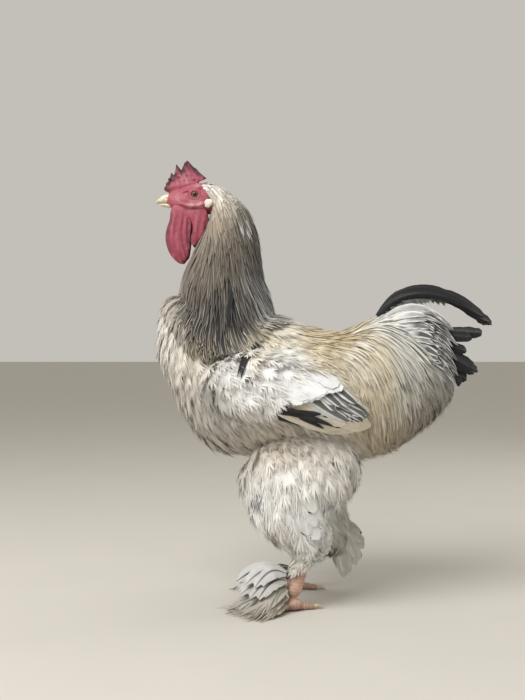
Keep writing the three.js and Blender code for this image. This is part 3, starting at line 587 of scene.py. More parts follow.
def piece(name, mesh, material, replaces=(), place=None):
    """Puts a mesh in the scene as a part of the bird, at a place of its own if one is given."""
    obj = bpy.data.objects.new(name, mesh)
    bpy.context.scene.collection.objects.link(obj)
    if place is not None:
        obj.location = Vector(place) * MM
    if material is not None:
        mesh.materials.append(material)
    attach(obj, "root")
    if replaces:
        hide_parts(*replaces)
    return obj


def fused(parts, voxel, smooth):
    """Closed forms grown together into one surface. Vertices in millimetres, and triangles."""
    mesh = mesh_of("fusing", *join(parts))
    obj = bpy.data.objects.new("fusing", mesh)
    bpy.context.scene.collection.objects.link(obj)
    remesh = obj.modifiers.new("grow_together", "REMESH")
    remesh.mode = "VOXEL"
    remesh.voxel_size = voxel * MM
    soften = obj.modifiers.new("soften", "SMOOTH")
    soften.factor = 0.5
    soften.iterations = smooth
    obj.modifiers.new("triangles", "TRIANGULATE")
    done = obj.evaluated_get(bpy.context.evaluated_depsgraph_get()).to_mesh()
    verts = np.zeros(len(done.vertices) * 3, np.float32)
    done.vertices.foreach_get("co", verts)
    tris = np.zeros(len(done.polygons) * 3, np.int32)
    done.polygons.foreach_get("vertices", tris)
    bpy.data.objects.remove(obj)
    bpy.data.meshes.remove(mesh)
    return verts.reshape(-1, 3).astype(float) / MM, tris.reshape(-1, 3)


def vertex_normals(verts, tris):
    a, b, c = (verts[tris[:, k]] for k in range(3))
    face = np.cross(b - a, c - a)
    normals = np.zeros_like(verts)
    for k in range(3):
        np.add.at(normals, tris[:, k], face)
    return unit(normals)


def set_tint(mesh, colours):
    """Stores a colour for each vertex."""
    layer = mesh.color_attributes.new("tint", "FLOAT_COLOR", "POINT")
    rgba = np.ones((len(colours), 4), np.float32)
    rgba[:, :3] = np.clip(colours, 0, 1)
    layer.data.foreach_set("color", rgba.ravel())


def set_uv(mesh, name, uv, tris):
    layer = mesh.uv_layers.new(name=name)
    layer.data.foreach_set("uv", uv[tris.ravel()].astype(np.float32).ravel())


ROOT_TRIES = 3.2  # roots tried for each square of the spacing
ROOT_GAP = 0.8  # least distance between two roots, as a share of the spacing
UP_KEPT, UP_NEW = 0.45, 0.55  # shares of the last outward direction and of the skin's own
RISE_BEND = 0.8  # below 1 a feather leaves the skin early along its length
QUILL_GIVE = 0.9  # share of the way to its wanted height that a stiff quill bends at each step
BESIDE = 130  # from the middle of the bird to just outside its widest place


# The bed that feathers are laid on
class Bed:
    """The skin as the coat finds it: its nearest place, the normal there and the lie of the coat."""

    def __init__(self, verts, tris):
        self.tree = BVHTree.FromPolygons(verts.tolist(), tris.tolist())
        self.corners = verts[tris]
        self.centres = self.corners.mean(1)
        edges = self.corners[:, 1:] - self.corners[:, :1]
        self.areas = np.linalg.norm(np.cross(edges[:, 0], edges[:, 1]), axis=1) / 2
        self.normals = unit(vertex_normals(verts, tris)[tris].sum(1))
        self.lies = lie_at(self.centres)
        self.normal_of = [Vector(n) for n in self.normals]
        self.lie_of = [Vector(n) for n in self.lies]

    def scatter(self, inside, spacing, seed):
        """Roots spread evenly over the faces whose centres are inside, about spacing apart."""
        rng = np.random.default_rng(seed)
        faces = np.flatnonzero(inside(self.centres))
        weight = self.areas[faces]
        count = int(weight.sum() / spacing**2 * ROOT_TRIES)
        chosen = rng.choice(faces, count, p=weight / weight.sum())
        a, b = rng.random((2, count, 1))
        flip = a + b > 1
        a, b = np.where(flip, 1 - a, a), np.where(flip, 1 - b, b)
        p, q, r = (self.corners[chosen, k] for k in range(3))
        points = p + a * (q - p) + b * (r - p)
        kept, cells = [], {}
        for k, (x, y, z) in enumerate(np.floor(points / spacing).astype(int).tolist()):
            near = (
                other
                for dx in (-1, 0, 1)
                for dy in (-1, 0, 1)
                for dz in (-1, 0, 1)
                for other in cells.get((x + dx, y + dy, z + dz), ())
            )
            if all(((points[k] - points[o]) ** 2).sum() > (ROOT_GAP * spacing) ** 2 for o in near):
                cells.setdefault((x, y, z), []).append(k)
                kept.append(k)
        return points[kept]

    def lay(self, roots, headings, length, lift, steps=6, hug=0.6, base=0.0, follow=0.5):
        """Lines that start at roots and run over the skin.

        base and lift are the heights of root and tip over the skin. hug says how closely a line that
        stands higher comes back, and follow how far each step turns to the lie of the coat.
        Returns places and outward directions, each (feathers, steps + 1, 3), in millimetres.
        """
        count = len(roots)
        length, lift, base, hug = (np.broadcast_to(v, count) for v in (length, lift, base, hug))
        lines = np.zeros((count, steps + 1, 3))
        facings = np.zeros((count, steps + 1, 3))
        for k in range(count):
            place = Vector(roots[k])
            heading = Vector(headings[k])
            step = float(length[k]) / steps
            low, high, cling = float(base[k]), float(lift[k]), float(hug[k])
            up = None
            for i in range(steps + 1):
                near, _, face, _ = self.tree.find_nearest(place)
                normal = self.normal_of[face]
                up = normal.copy() if up is None else (up * UP_KEPT + normal * UP_NEW).normalized()
                height = low + (high - low) * (i / steps) ** RISE_BEND
                rise = (place - near).dot(normal)
                rise = height if rise < height else height + (rise - height) * (1 - cling)
                spot = near + normal * rise
                if i:
                    spot = place + (spot - place) * QUILL_GIVE
                lines[k, i] = spot
                facings[k, i] = up
                heading = heading * (1 - follow) + self.lie_of[face] * follow
                heading -= up * heading.dot(up)
                heading.normalize()
                place = spot + heading * step
        return lines, facings

    def headings(self, roots):
        found = [self.tree.find_nearest(Vector(p))[2] for p in roots]
        lies, ups = self.lies[found], self.normals[found]
        return unit(lies - ups * (lies * ups).sum(1, keepdims=True)), ups

    def side_roots(self, x, z, side):
        """Places on the skin nearest to x and z beside the bird, on one side of it."""
        return np.array([self.tree.find_nearest(Vector((a, side * BESIDE, b)))[0] for a, b in zip(x, z)])


def turned(headings, ups, angles):
    """Headings turned about the outward directions, in radians."""
    beside = np.cross(ups, headings)
    return headings * np.cos(angles)[:, None] + beside * np.sin(angles)[:, None]


def along_lines(lines, facings, s):
    """Places, outward, sideways and lengthways directions at shares s of each line. s is (feathers, n)."""
    steps = lines.shape[1] - 1
    i = np.clip(np.floor(s * steps).astype(int), 0, steps - 1)
    t = (s * steps - i)[..., None]
    k = np.arange(len(lines))[:, None]
    places = lines[k, i] + (lines[k, i + 1] - lines[k, i]) * t
    up = facings[k, i] + (facings[k, i + 1] - facings[k, i]) * np.clip(t, 0, 1)
    way = unit(lines[k, np.minimum(i + 2, steps)] - lines[k, np.maximum(i - 1, 0)])
    beside = unit(np.cross(up, way))
    return places, np.cross(way, beside), beside, way


def bake_places(roots):
    """Where each root lies on an unwrap of the bird's own skin, from 0 to 1 both ways.

    The trunk is unrolled round the line from breast to tail, the neck and each leg round their own
    upright lines, and each has its own band of the unwrap.
    """
    x, y, z = roots.T
    leg = (z < 235) & (np.abs(y) > 12) & (x > -140) & (x < 90)
    upper = z > 430
    axis_x = np.where(leg, -30.0, -150.0)
    axis_y = np.where(leg, np.sign(y) * STANCE, 0.0)
    round_up = np.where(leg | upper, np.arctan2(y - axis_y, x - axis_x), np.arctan2(y, z - 335))
    high = np.where(leg, z / 240, np.where(upper, (z - 430) / 215, (x + 250) / 500))
    first = np.where(leg, np.where(y < 0, 0.76, 0.88), np.where(upper, 0.52, 0.02))
    share = np.where(leg, 0.10, np.where(upper, 0.22, 0.48))
    return np.stack([0.02 + 0.95 * (round_up / (2 * math.pi) + 0.5), first + share * np.clip(high, 0, 1)], -1)


BAKE_PATCH = 0.003  # how wide the place of one feather is on the unwrap
FIELDS = {"verts": 3, "tint": 3, "normals": 3, "vane": 2, "bake": 2}  # numbers that each point holds
FEATHER_CLEAR = 0.25  # least height of a feather over the floor
SKIN_CLEAR = 0.3  # least height of legs and claws over the floor


def feather_piece(name, grown, material, replaces=()):
    """One piece of coat from the meshes of many feathers."""
    flat = {key: np.concatenate([g[key].reshape(-1, size) for g in grown]) for key, size in FIELDS.items()}
    tris, start = [], 0
    for g in grown:
        count, each = g["verts"].shape[0], int(np.prod(g["verts"].shape[1:-1]))
        offsets = start + np.arange(count)[:, None, None] * each
        tris.append((g["tris"][None] + offsets).reshape(-1, 3))
        start += count * each
    tris = np.concatenate(tris)
    flat["verts"][:, 2] = np.maximum(flat["verts"][:, 2], FEATHER_CLEAR)
    mesh = mesh_of(name, flat["verts"], tris)
    set_tint(mesh, flat["tint"])
    shading = mesh.attributes.new("custom_normal", "FLOAT_VECTOR", "POINT")
    shading.data.foreach_set("vector", flat["normals"].astype(np.float32).ravel())
    set_uv(mesh, "Vane", flat["vane"], tris)
    set_uv(mesh, "OFBake", flat["bake"], tris)
    return piece(name, mesh, material, replaces)


# Two kinds of feather. Columns are places across a vane, from one edge at -1 to the other at 1
VANE_UNIT = 100  # millimetres of feather to one unit of the map named Vane
PLAIN_COLUMNS = np.array([-1, -0.5, 0, 0.5, 1.0])
STREAK_COLUMNS = np.array([-1, -0.62, -0.44, 0, 0.44, 0.62, 1.0])
QUILL_COLUMNS = np.array([-1, -0.5, -0.16, -0.09, 0.09, 0.16, 0.5, 1.0])


def stiff_feathers(lines, facings, width, ground, streak=None, shown=None, fringe=None, rows=8, tip=0.35,
                   cup=0.14, root=0.35, ragged=0.12, roll=0.0, full=0.55, columns=STREAK_COLUMNS, seed=0):
    """Feathers with a whole vane: a curved strip each, with a darker streak along its shaft.

    ground, streak and fringe are a colour for each feather, and shown says how much of the streak shows
    on each row.
    """
    rng = np.random.default_rng(seed)
    count, x = len(lines), columns
    share = np.linspace(0, 1, rows + 1)
    s = np.broadcast_to(share, (count, rows + 1))
    places, up, beside, way = along_lines(lines, facings, s)
    if np.any(roll):
        roll = np.broadcast_to(roll, count)[:, None, None]
        beside, up = beside * np.cos(roll) + up * np.sin(roll), up * np.cos(roll) - beside * np.sin(roll)
    swell = np.interp(share, [0, full * 0.45, full, 0.85, 1], [root, 0.88, 1, lerp(tip, 1, 0.62), tip])
    width = np.broadcast_to(width, count)
    half = width[:, None] / 2 * swell
    jitter = rng.normal(0, 1, (count, rows + 1, len(x)))
    edge = np.abs(x) > 0.95
    out = half[..., None] * x * (1 - ragged * np.abs(jitter) * edge * lerp(0.3, 1, share)[:, None])
    drop = -cup * half[..., None] * np.abs(x) ** 1.6
    length = np.linalg.norm(np.diff(lines, axis=1), axis=2).sum(1)
    back = np.zeros((count, rows + 1, len(x)))
    back[:, -1] = -np.abs(x) ** 2 * np.minimum(width * 0.32, length * 0.2)[:, None]
    back[:, -1] += ragged * jitter[:, -1] * width[:, None] * 0.3
    verts = (places[:, :, None] + beside[:, :, None] * out[..., None] + up[:, :, None] * drop[..., None]
             + way[:, :, None] * back[..., None])
    lean = rng.normal(0, 0.09, (count, 1, 1, 3))
    normals = unit(up[:, :, None] + beside[:, :, None] * (x * (0.25 + cup))[None, None, :, None] + lean)
    tint = np.broadcast_to(ground[:, None, None], (count, rows + 1, len(x), 3)).copy()
    if fringe is not None:
        tint = lerp(tint, fringe[:, None, None], np.clip((np.abs(x) - 0.6) / 0.4, 0, 1)[None, None, :, None])
    if streak is not None:
        inner = np.abs(x) <= (0.1 if columns is QUILL_COLUMNS else 0.45)
        on = inner[None, None, :] * np.broadcast_to(shown, (count, rows + 1))[..., None]
        tint = lerp(tint, streak[:, None, None], on[..., None])
    tint = tint * (1 + rng.normal(0, 0.03, (count, rows + 1, 1, 1)))
    vane = np.stack(np.broadcast_arrays(out, (s * length[:, None])[..., None]), -1)
    patch = np.stack(np.broadcast_arrays(x[None, :] / 2, (share - 0.5)[:, None]), -1) * BAKE_PATCH
    bake = bake_places(lines[:, 0])[:, None, None] + patch[None]
    i, j = np.meshgrid(np.arange(rows), np.arange(len(x) - 1), indexing="ij")
    a = (i * len(x) + j).ravel()
    b, c, d = a + 1, a + len(x), a + len(x) + 1
    tris = np.vstack([np.stack([a, d, b], 1), np.stack([a, c, d], 1)])
    vane = vane / VANE_UNIT
    return {"verts": verts, "tint": tint, "normals": normals, "vane": vane, "bake": bake, "tris": tris}


LOCK = 3  # barbs that lean together to one tip


def soft_feathers(lines, facings, width, root_tint, tip_tint, barbs=12, forward=0.4, fray=0.2, puff=0.12,
                  clump=0.55, seed=0):
    """Loose feathers: separate barbs on both sides of the shaft, leaning together in small locks."""
    rng = np.random.default_rng(seed)
    count = len(lines)
    half = np.broadcast_to(width, count)[:, None] / 2
    length = np.linalg.norm(np.diff(lines, axis=1), axis=2).sum(1)[:, None]
    made = {"verts": [], "tint": [], "normals": [], "vane": [], "bake": []}
    lean = rng.normal(0, 0.1, (count, 1, 3))
    spot = bake_places(lines[:, 0])[:, None, None]
    fringe = 1 + rng.normal(0, 0.04, (count, 1, 1))

    def together(values):
        groups = values.reshape(count, barbs // LOCK, LOCK)
        return np.repeat(groups.mean(-1), LOCK, axis=1)

    for sign in (-1, 1):
        s0 = (np.arange(barbs) + rng.random((count, barbs))) / barbs * 0.82
        wide = half * np.interp(s0, [0, 0.25, 0.55, 0.82], [0.75, 1.0, 0.85, 0.22])
        wide = wide * (1 + rng.normal(0, fray, s0.shape))
        end = s0 + forward * (1 + rng.normal(0, 0.16, s0.shape))
        wide, end = lerp(wide, together(wide), clump), lerp(end, together(end), clump)
        bend = np.repeat(rng.normal(0, puff, (count, barbs // LOCK)), LOCK, axis=1) * half
        corners = [(s0, 0), (s0 + 1.5 / barbs, 0), (lerp(s0, end, 0.5), 0.6), (end, 1.0)]
        rows = {key: [] for key in made}
        for s, out in corners:
            p, up, beside, _ = along_lines(lines, facings, s)
            side = (sign * wide * out)[..., None]
            rise = (bend * out**2 - 0.14 * wide * out**1.5)[..., None]
            rows["verts"].append(p + beside * side + up * rise)
            rows["normals"].append(unit(up + beside * (0.4 * sign * out) + lean))
            blend = np.clip(0.15 + 0.55 * s + 0.4 * out, 0, 1)[..., None]
            rows["tint"].append(lerp(root_tint[:, None], tip_tint[:, None], blend) * fringe)
            rows["vane"].append(np.stack([side[..., 0], s * length], -1) / VANE_UNIT)
            place = np.stack(np.broadcast_arrays(sign * out / 2, np.clip(s, 0, 1) - 0.5), -1)
            rows["bake"].append(spot[:, 0] + place * BAKE_PATCH)
        for key, values in rows.items():
            made[key].append(np.stack(values, 2))
    grown = {key: np.concatenate(values, 1) for key, values in made.items()}
    base = np.array([[0, 1, 2], [2, 1, 3]])
    # Both sides of the shaft are wound so that their faces look outward
    both = np.concatenate([np.repeat(base[None, :, ::-1], barbs, 0), np.repeat(base[None], barbs, 0)])
    grown["tris"] = (both + 4 * np.arange(2 * barbs)[:, None, None]).reshape(-1, 3)
    return grown


# Materials
def add(tree, kind, inputs=(), **settings):
    """Adds a node with its settings, and fills or links its inputs."""
    node = tree.nodes.new(kind)
    for key, value in settings.items():
        setattr(node, key, value)
    for key, value in dict(inputs).items():
        if isinstance(value, bpy.types.NodeSocket):
            tree.links.new(value, node.inputs[key])
        else:
            node.inputs[key].default_value = value
    return node


def new_material(name, **surface):
    """A material with its shader, and the tree to add nodes to."""
    material = bpy.data.materials.new(name)
    material.use_nodes = True
    tree = material.node_tree
    shader = tree.nodes["Principled BSDF"]
    for key, value in surface.items():
        shader.inputs[key.replace("_", " ")].default_value = value
    return material, tree, shader


def per_mm(size):
    """The scale of a pattern whose features are size millimetres apart."""
    return 1 / (size * MM)


def feather_material(name, roughness, barb_mm, relief, depth, sheen):
    """Keratin: colour from each feather, with barbs drawn as fine lines slanting off the shaft.

    Real barbs are well under a millimetre apart, too fine to show, so the lines are drawn coarser.
    """
    material, tree, shader = new_material(name, Roughness=roughness, IOR=1.54, Sheen_Weight=sheen,
                                          Sheen_Roughness=0.5)
    shader.inputs["Specular IOR Level"].default_value = 0.35
    tint = add(tree, "ShaderNodeAttribute", attribute_name="tint")
    vane = add(tree, "ShaderNodeUVMap", uv_map="Vane")
    parts = add(tree, "ShaderNodeSeparateXYZ", {"Vector": vane.outputs["UV"]})
    outward = add(tree, "ShaderNodeMath", {0: parts.outputs["X"]}, operation="ABSOLUTE")
    slant = add(tree, "ShaderNodeMath", {0: parts.outputs["Y"], 1: outward.outputs[0]}, operation="SUBTRACT")
    line = add(tree, "ShaderNodeMath", {0: slant.outputs[0], 1: 2 * math.pi * VANE_UNIT / barb_mm},
               operation="MULTIPLY")
    wave = add(tree, "ShaderNodeMath", {0: line.outputs[0]}, operation="SINE")
    place = add(tree, "ShaderNodeNewGeometry")
    grain = add(tree, "ShaderNodeTexNoise", {"Vector": place.outputs["Position"], "Scale": per_mm(9.0),
                                             "Detail": 3.0})
    shade = add(tree, "ShaderNodeMapRange", {"Value": grain.outputs["Fac"], "From Min": 0.3, "From Max": 0.7,
                                             "To Min": 1 - depth, "To Max": 1 + depth * 0.35})
    dark = add(tree, "ShaderNodeMapRange", {"Value": wave.outputs[0], "From Min": -1.0, "From Max": 1.0,
                                            "To Min": 1 - depth * 0.8, "To Max": 1.0})
    both = add(tree, "ShaderNodeMath", {0: shade.outputs[0], 1: dark.outputs[0]}, operation="MULTIPLY")
    colour = add(tree, "ShaderNodeVectorMath", {0: tint.outputs["Color"], "Scale": both.outputs[0]},
                 operation="SCALE")
    tree.links.new(colour.outputs[0], shader.inputs["Base Color"])
    bump = add(tree, "ShaderNodeBump", {"Height": wave.outputs[0], "Strength": 0.5, "Distance": relief * MM})
    tree.links.new(bump.outputs[0], shader.inputs["Normal"])
    return material


def skin_material(name, roughness, pebble_mm, relief, mottle, wrinkle_mm=9.0):
    """Bare skin: colour from the form, with pebbled grain and shallow wrinkles."""
    material, tree, shader = new_material(name, Roughness=roughness, Subsurface_Weight=0.1,
                                          Subsurface_Scale=0.003)
    shader.inputs["Specular IOR Level"].default_value = 0.4
    tint = add(tree, "ShaderNodeAttribute", attribute_name="tint")
    place = add(tree, "ShaderNodeNewGeometry")
    spot = place.outputs["Position"]
    cells = add(tree, "ShaderNodeTexVoronoi", {"Vector": spot, "Scale": per_mm(pebble_mm)})
    folds = add(tree, "ShaderNodeTexNoise", {"Vector": spot, "Scale": per_mm(wrinkle_mm), "Detail": 4.0,
                                             "Distortion": 0.6})
    shade = add(tree, "ShaderNodeMapRange", {"Value": folds.outputs["Fac"], "From Min": 0.3, "From Max": 0.7,
                                             "To Min": 1 - mottle, "To Max": 1 + mottle * 0.5})
    colour = add(tree, "ShaderNodeVectorMath", {0: tint.outputs["Color"], "Scale": shade.outputs[0]},
                 operation="SCALE")
    tree.links.new(colour.outputs[0], shader.inputs["Base Color"])
    fine = add(tree, "ShaderNodeBump", {"Height": cells.outputs["Distance"], "Strength": 0.6,
                                        "Distance": relief * MM}, invert=True)
    coarse = add(tree, "ShaderNodeBump", {"Height": folds.outputs["Fac"], "Strength": 0.6,
                                          "Distance": relief * 2.5 * MM, "Normal": fine.outputs[0]})
    tree.links.new(coarse.outputs[0], shader.inputs["Normal"])
    return material


def ramp_node(tree, factor, stops):
    """A colour ramp with a stop for each position and hex value."""
    ramp = add(tree, "ShaderNodeValToRGB", {"Fac": factor})
    elements = ramp.color_ramp.elements
    while len(elements) < len(stops):
        elements.new(0.5)
    for element, (position, hex_value) in zip(elements, stops):
        element.position = position
        element.color = (*linear(hex_value), 1)
    return ramp


def horn_material(name, pale, dark, roughness, streak_mm):
    """Horn of beak and claws: growth streaks along it under a slight polish."""
    material, tree, shader = new_material(name, Roughness=roughness, IOR=1.56, Coat_Weight=0.25)
    place = add(tree, "ShaderNodeNewGeometry")
    stretch = add(tree, "ShaderNodeMapping", {"Vector": place.outputs["Position"], "Scale": (0.18, 1.0, 1.0)})
    streaks = add(tree, "ShaderNodeTexNoise", {"Vector": stretch.outputs[0], "Scale": per_mm(streak_mm),
                                               "Detail": 3.0})
    ramp = ramp_node(tree, streaks.outputs["Fac"], [(0.32, dark), (0.56, pale)])
    tree.links.new(ramp.outputs[0], shader.inputs["Base Color"])
    relief = {"Height": streaks.outputs["Fac"], "Strength": 0.3, "Distance": 0.3 * MM}
    bump = add(tree, "ShaderNodeBump", relief)
    tree.links.new(bump.outputs[0], shader.inputs["Normal"])
    return material


def eye_material(name, radius):
    """A wet eye: black pupil, brown iris that is paler in its middle, and a dark rim."""
    material, tree, shader = new_material(name, Roughness=0.08, IOR=1.38)
    place = add(tree, "ShaderNodeTexCoord")
    parts = add(tree, "ShaderNodeSeparateXYZ", {"Vector": place.outputs["Object"]})
    flat = add(tree, "ShaderNodeCombineXYZ", {"X": parts.outputs["X"], "Y": parts.outputs["Z"]})
    reach = add(tree, "ShaderNodeVectorMath", {0: flat.outputs[0]}, operation="LENGTH")
    share = add(tree, "ShaderNodeMath", {0: reach.outputs["Value"], 1: radius * MM}, operation="DIVIDE")
    stops = [(0.0, 0x050404), (0.38, 0x080605), (0.46, 0x4A2E1C), (0.64, 0x8A6242), (0.8, 0x5E4030),
             (0.92, 0x1E1412)]
    ramp = ramp_node(tree, share.outputs[0], stops)
    tree.links.new(ramp.outputs[0], shader.inputs["Base Color"])
    return material


# Sizes and colours that a user would change
class BirdSizes(bpy.types.PropertyGroup):
    body_depth: bpy.props.FloatProperty(
        name="Body coat", default=12.0, min=4, max=20,
        description="Depth of the feathers on breast and back, in millimetres")
    thigh_depth: bpy.props.FloatProperty(
        name="Thigh coat", default=14.0, min=4, max=24,
        description="Depth of the soft feathers on the thighs, in millimetres")
    hackle_count: bpy.props.IntProperty(
        name="Hackle feathers", default=2600, min=200, max=4000,
        description="How many roots are tried for the narrow feathers round the neck")
    hackle_width: bpy.props.FloatProperty(
        name="Hackle width", default=6.5, min=3, max=14,
        description="Width of a hackle feather, in millimetres")
    saddle_length: bpy.props.FloatProperty(
        name="Saddle length", default=92.0, min=40, max=140,
        description="Length of the longest saddle feathers, in millimetres")
    down_spacing: bpy.props.FloatProperty(
        name="Body spacing", default=7.0, min=5, max=20,
        description="About the distance between roots of soft feathers, in millimetres")


class StageSizes(bpy.types.PropertyGroup):
    key_power: bpy.props.FloatProperty(
        name="Key light", default=56.0, min=0, unit="POWER",
        description="Power of the soft light in front of the bird, on its near side")
    fill_power: bpy.props.FloatProperty(
        name="Fill light", default=10.0, min=0, unit="POWER",
        description="Power of the soft light on the far side")
    sky_strength: bpy.props.FloatProperty(
        name="Room light", default=0.72, min=0,
        description="Strength of the even light from all round")
    floor_colour: bpy.props.FloatVectorProperty(
        name="Floor", subtype="COLOR", size=3, default=linear(0xCBC7BF),
        description="Colour of the plain floor")


state = {}  # what one operator leaves for the next: the bed that feathers are laid on, and materials


def body_parts(sizes):
    """Flesh under the plumage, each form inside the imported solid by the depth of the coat."""
    parts = [
        Form(TRUNK_STATIONS, upright=True, square=0.92, coat=sizes.body_depth).mesh(48, 48),
        Form(CAPE_STATIONS).mesh(40, 40),
        Form(TAIL_STATIONS, coat=4).mesh(20, 20),
    ]
    for leg in LEGS.values():
        parts.append(thigh_form(leg, sizes.thigh_depth).mesh(30, 30))
    for side in (LEFT, RIGHT):
        parts.append(Form(WING_STATIONS, side=side).mesh(24, 24))
    return parts


def comb_mesh():
    """The blade of the comb as closed triangles: its outline on both faces, thinner towards the points."""
    outline = np.array(COMB_POINTS, float)
    count = len(outline)
    thick = np.interp(outline[:, 1], [632, 655, 680], [COMB_THICK, COMB_THICK * 0.8, COMB_TIP_THICK]) / 2
    faces = [np.column_stack([outline[:, 0], side * thick, outline[:, 1]]) for side in (-1, 1)]
    middle = [[COMB_MIDDLE[0], side * COMB_THICK / 2, COMB_MIDDLE[1]] for side in (-1, 1)]
    tris = []
    for i in range(count):
        j = (i + 1) % count
        tris += [(i, j, 2 * count), (count + j, count + i, 2 * count + 1)]
        tris += [(j, i, count + i), (j, count + i, count + j)]
    return np.vstack([*faces, middle]), np.array(tris)


def ring_mesh(centre, radius, thick, sides=48, tube=12):
    """A closed ring in the plane of the bird's side, for an eyelid."""
    a = np.linspace(0, 2 * math.pi, sides, endpoint=False)[:, None]
    b = np.linspace(0, 2 * math.pi, tube, endpoint=False)[None, :]
    r = radius + thick * np.cos(b)
    x, y, z = centre
    places = np.broadcast_arrays(x + r * np.cos(a), y + thick * np.sin(b), z + LID_SQUASH * r * np.sin(a))
    verts = np.stack(places, -1)
    i, j = np.meshgrid(np.arange(sides), np.arange(tube), indexing="ij")
    k, m = (i + 1) % sides, (j + 1) % tube
    p, q, r, s = (u * tube + v for u, v in ((i, j), (k, j), (k, m), (i, m)))
    tris = np.concatenate([np.stack([p, r, q], -1), np.stack([p, s, r], -1)])
    return verts.reshape(-1, 3), tris.reshape(-1, 3)


def ball_mesh(centre, half, rings=16, sides=24):
    a = np.linspace(0, math.pi, rings + 1)[1:-1, None]
    b = np.linspace(0, 2 * math.pi, sides, endpoint=False)[None, :]
    ball = np.stack(np.broadcast_arrays(np.sin(a) * np.cos(b), np.sin(a) * np.sin(b), np.cos(a)), -1)
    verts = np.vstack([ball.reshape(-1, 3), [[0, 0, 1], [0, 0, -1]]])
    return verts * np.array(half) + np.array(centre), wound(rings - 1, sides)


def near(points, x, z, radius):
    """1 at a place seen from the side, fading to under a quarter at the radius."""
    return np.exp(-1.5 * gap_to(points, x, z, radius))


# Painted highlights and painted shade of the bare face, seen from the side: x, z, radius and how strongly
FACE_PAINTED_LIGHT = [
    (-205, 608, 6, 0.8), (-190, 607, 6, 0.8), (-198, 613, 9, 0.55), (-204, 545, 7, 0.5),
    (-226, 618, 7, 0.4), (-196, 639, 6, 0.6), (-214, 652, 10, 0.45),
]
FACE_PAINTED_SHADE = [
    (-172, 596, 8, 0.6), (-180, 575, 8, 0.5), (-168, 612, 6, 0.5), (-205, 566, 7, 0.6),
    (-206, 552, 7, 0.6), (-206, 580, 5, 0.4), (-244, 638, 9, 0.9), (-239, 650, 7, 0.5),
]


def spots(points, table):
    """How strongly the spots of a table show together at each point."""
    return sum(much * near(points, x, z, radius) for x, z, radius, much in table)


def ripple(points, lean, size, drift):
    """Uneven upright waves from -1 to 1, about size millimetres apart."""
    x, _, z = points.T
    bent = x + lean * z + drift * np.sin(z / (2.3 * size)) + 0.4 * drift * np.sin(x / (0.6 * size) + 1)
    return np.sin(bent * 2 * math.pi / size) * (0.75 + 0.25 * np.sin(z / (1.1 * size)))


def face_colours(verts):
    """Rose skin of face and wattles, with folds painted paler as highlights and creases painted darker as
    shade, and purple-black at the edges of the comb.
    """
    x, _, z = verts.T
    colour = np.broadcast_to(rgb(FACE_RED), verts.shape).copy()
    wattle = np.clip((606 - z) / 18, 0, 1)
    colour = lerp(colour, rgb(WATTLE_RED), wattle[:, None])
    # Painted highlights: the folds of the wattles and the light spots of the face are painted paler
    pale = np.clip(ripple(verts, 0.12, 9, 5) * ripple(verts, -0.3, 31, 8), 0, 1) * wattle * 0.5
    pale += spots(verts, FACE_PAINTED_LIGHT)
    colour = lerp(colour, rgb(FACE_PALE), np.clip(pale, 0, 0.75)[:, None])
    edge_front = np.interp(z, [520, 560, 600], [-236, -243, -233])
    rim = np.clip(1 - (x - edge_front) / 7, 0, 1) * wattle * 0.5
    outline = np.array(COMB_POINTS[1:12], float)
    gap = np.min(np.hypot(x[:, None] - outline[:, 0], z[:, None] - outline[:, 1]), axis=1)
    tips = np.clip(1.15 - gap / np.interp(z, [640, 680], [4, 13]), 0, 1) * (z > 642)
    furrow = np.clip(ripple(verts, 0.5, 8, 2), 0, 1) * (z > 640) * 0.35
    # Painted shade: the face's shade spots, between the wattles, round the earlobe and at the front of the
    # comb, are painted darker
    dark = np.clip(rim + spots(verts, FACE_PAINTED_SHADE) + tips + furrow, 0, 0.92)
    return lerp(colour, rgb(COMB_PURPLE), dark[:, None])


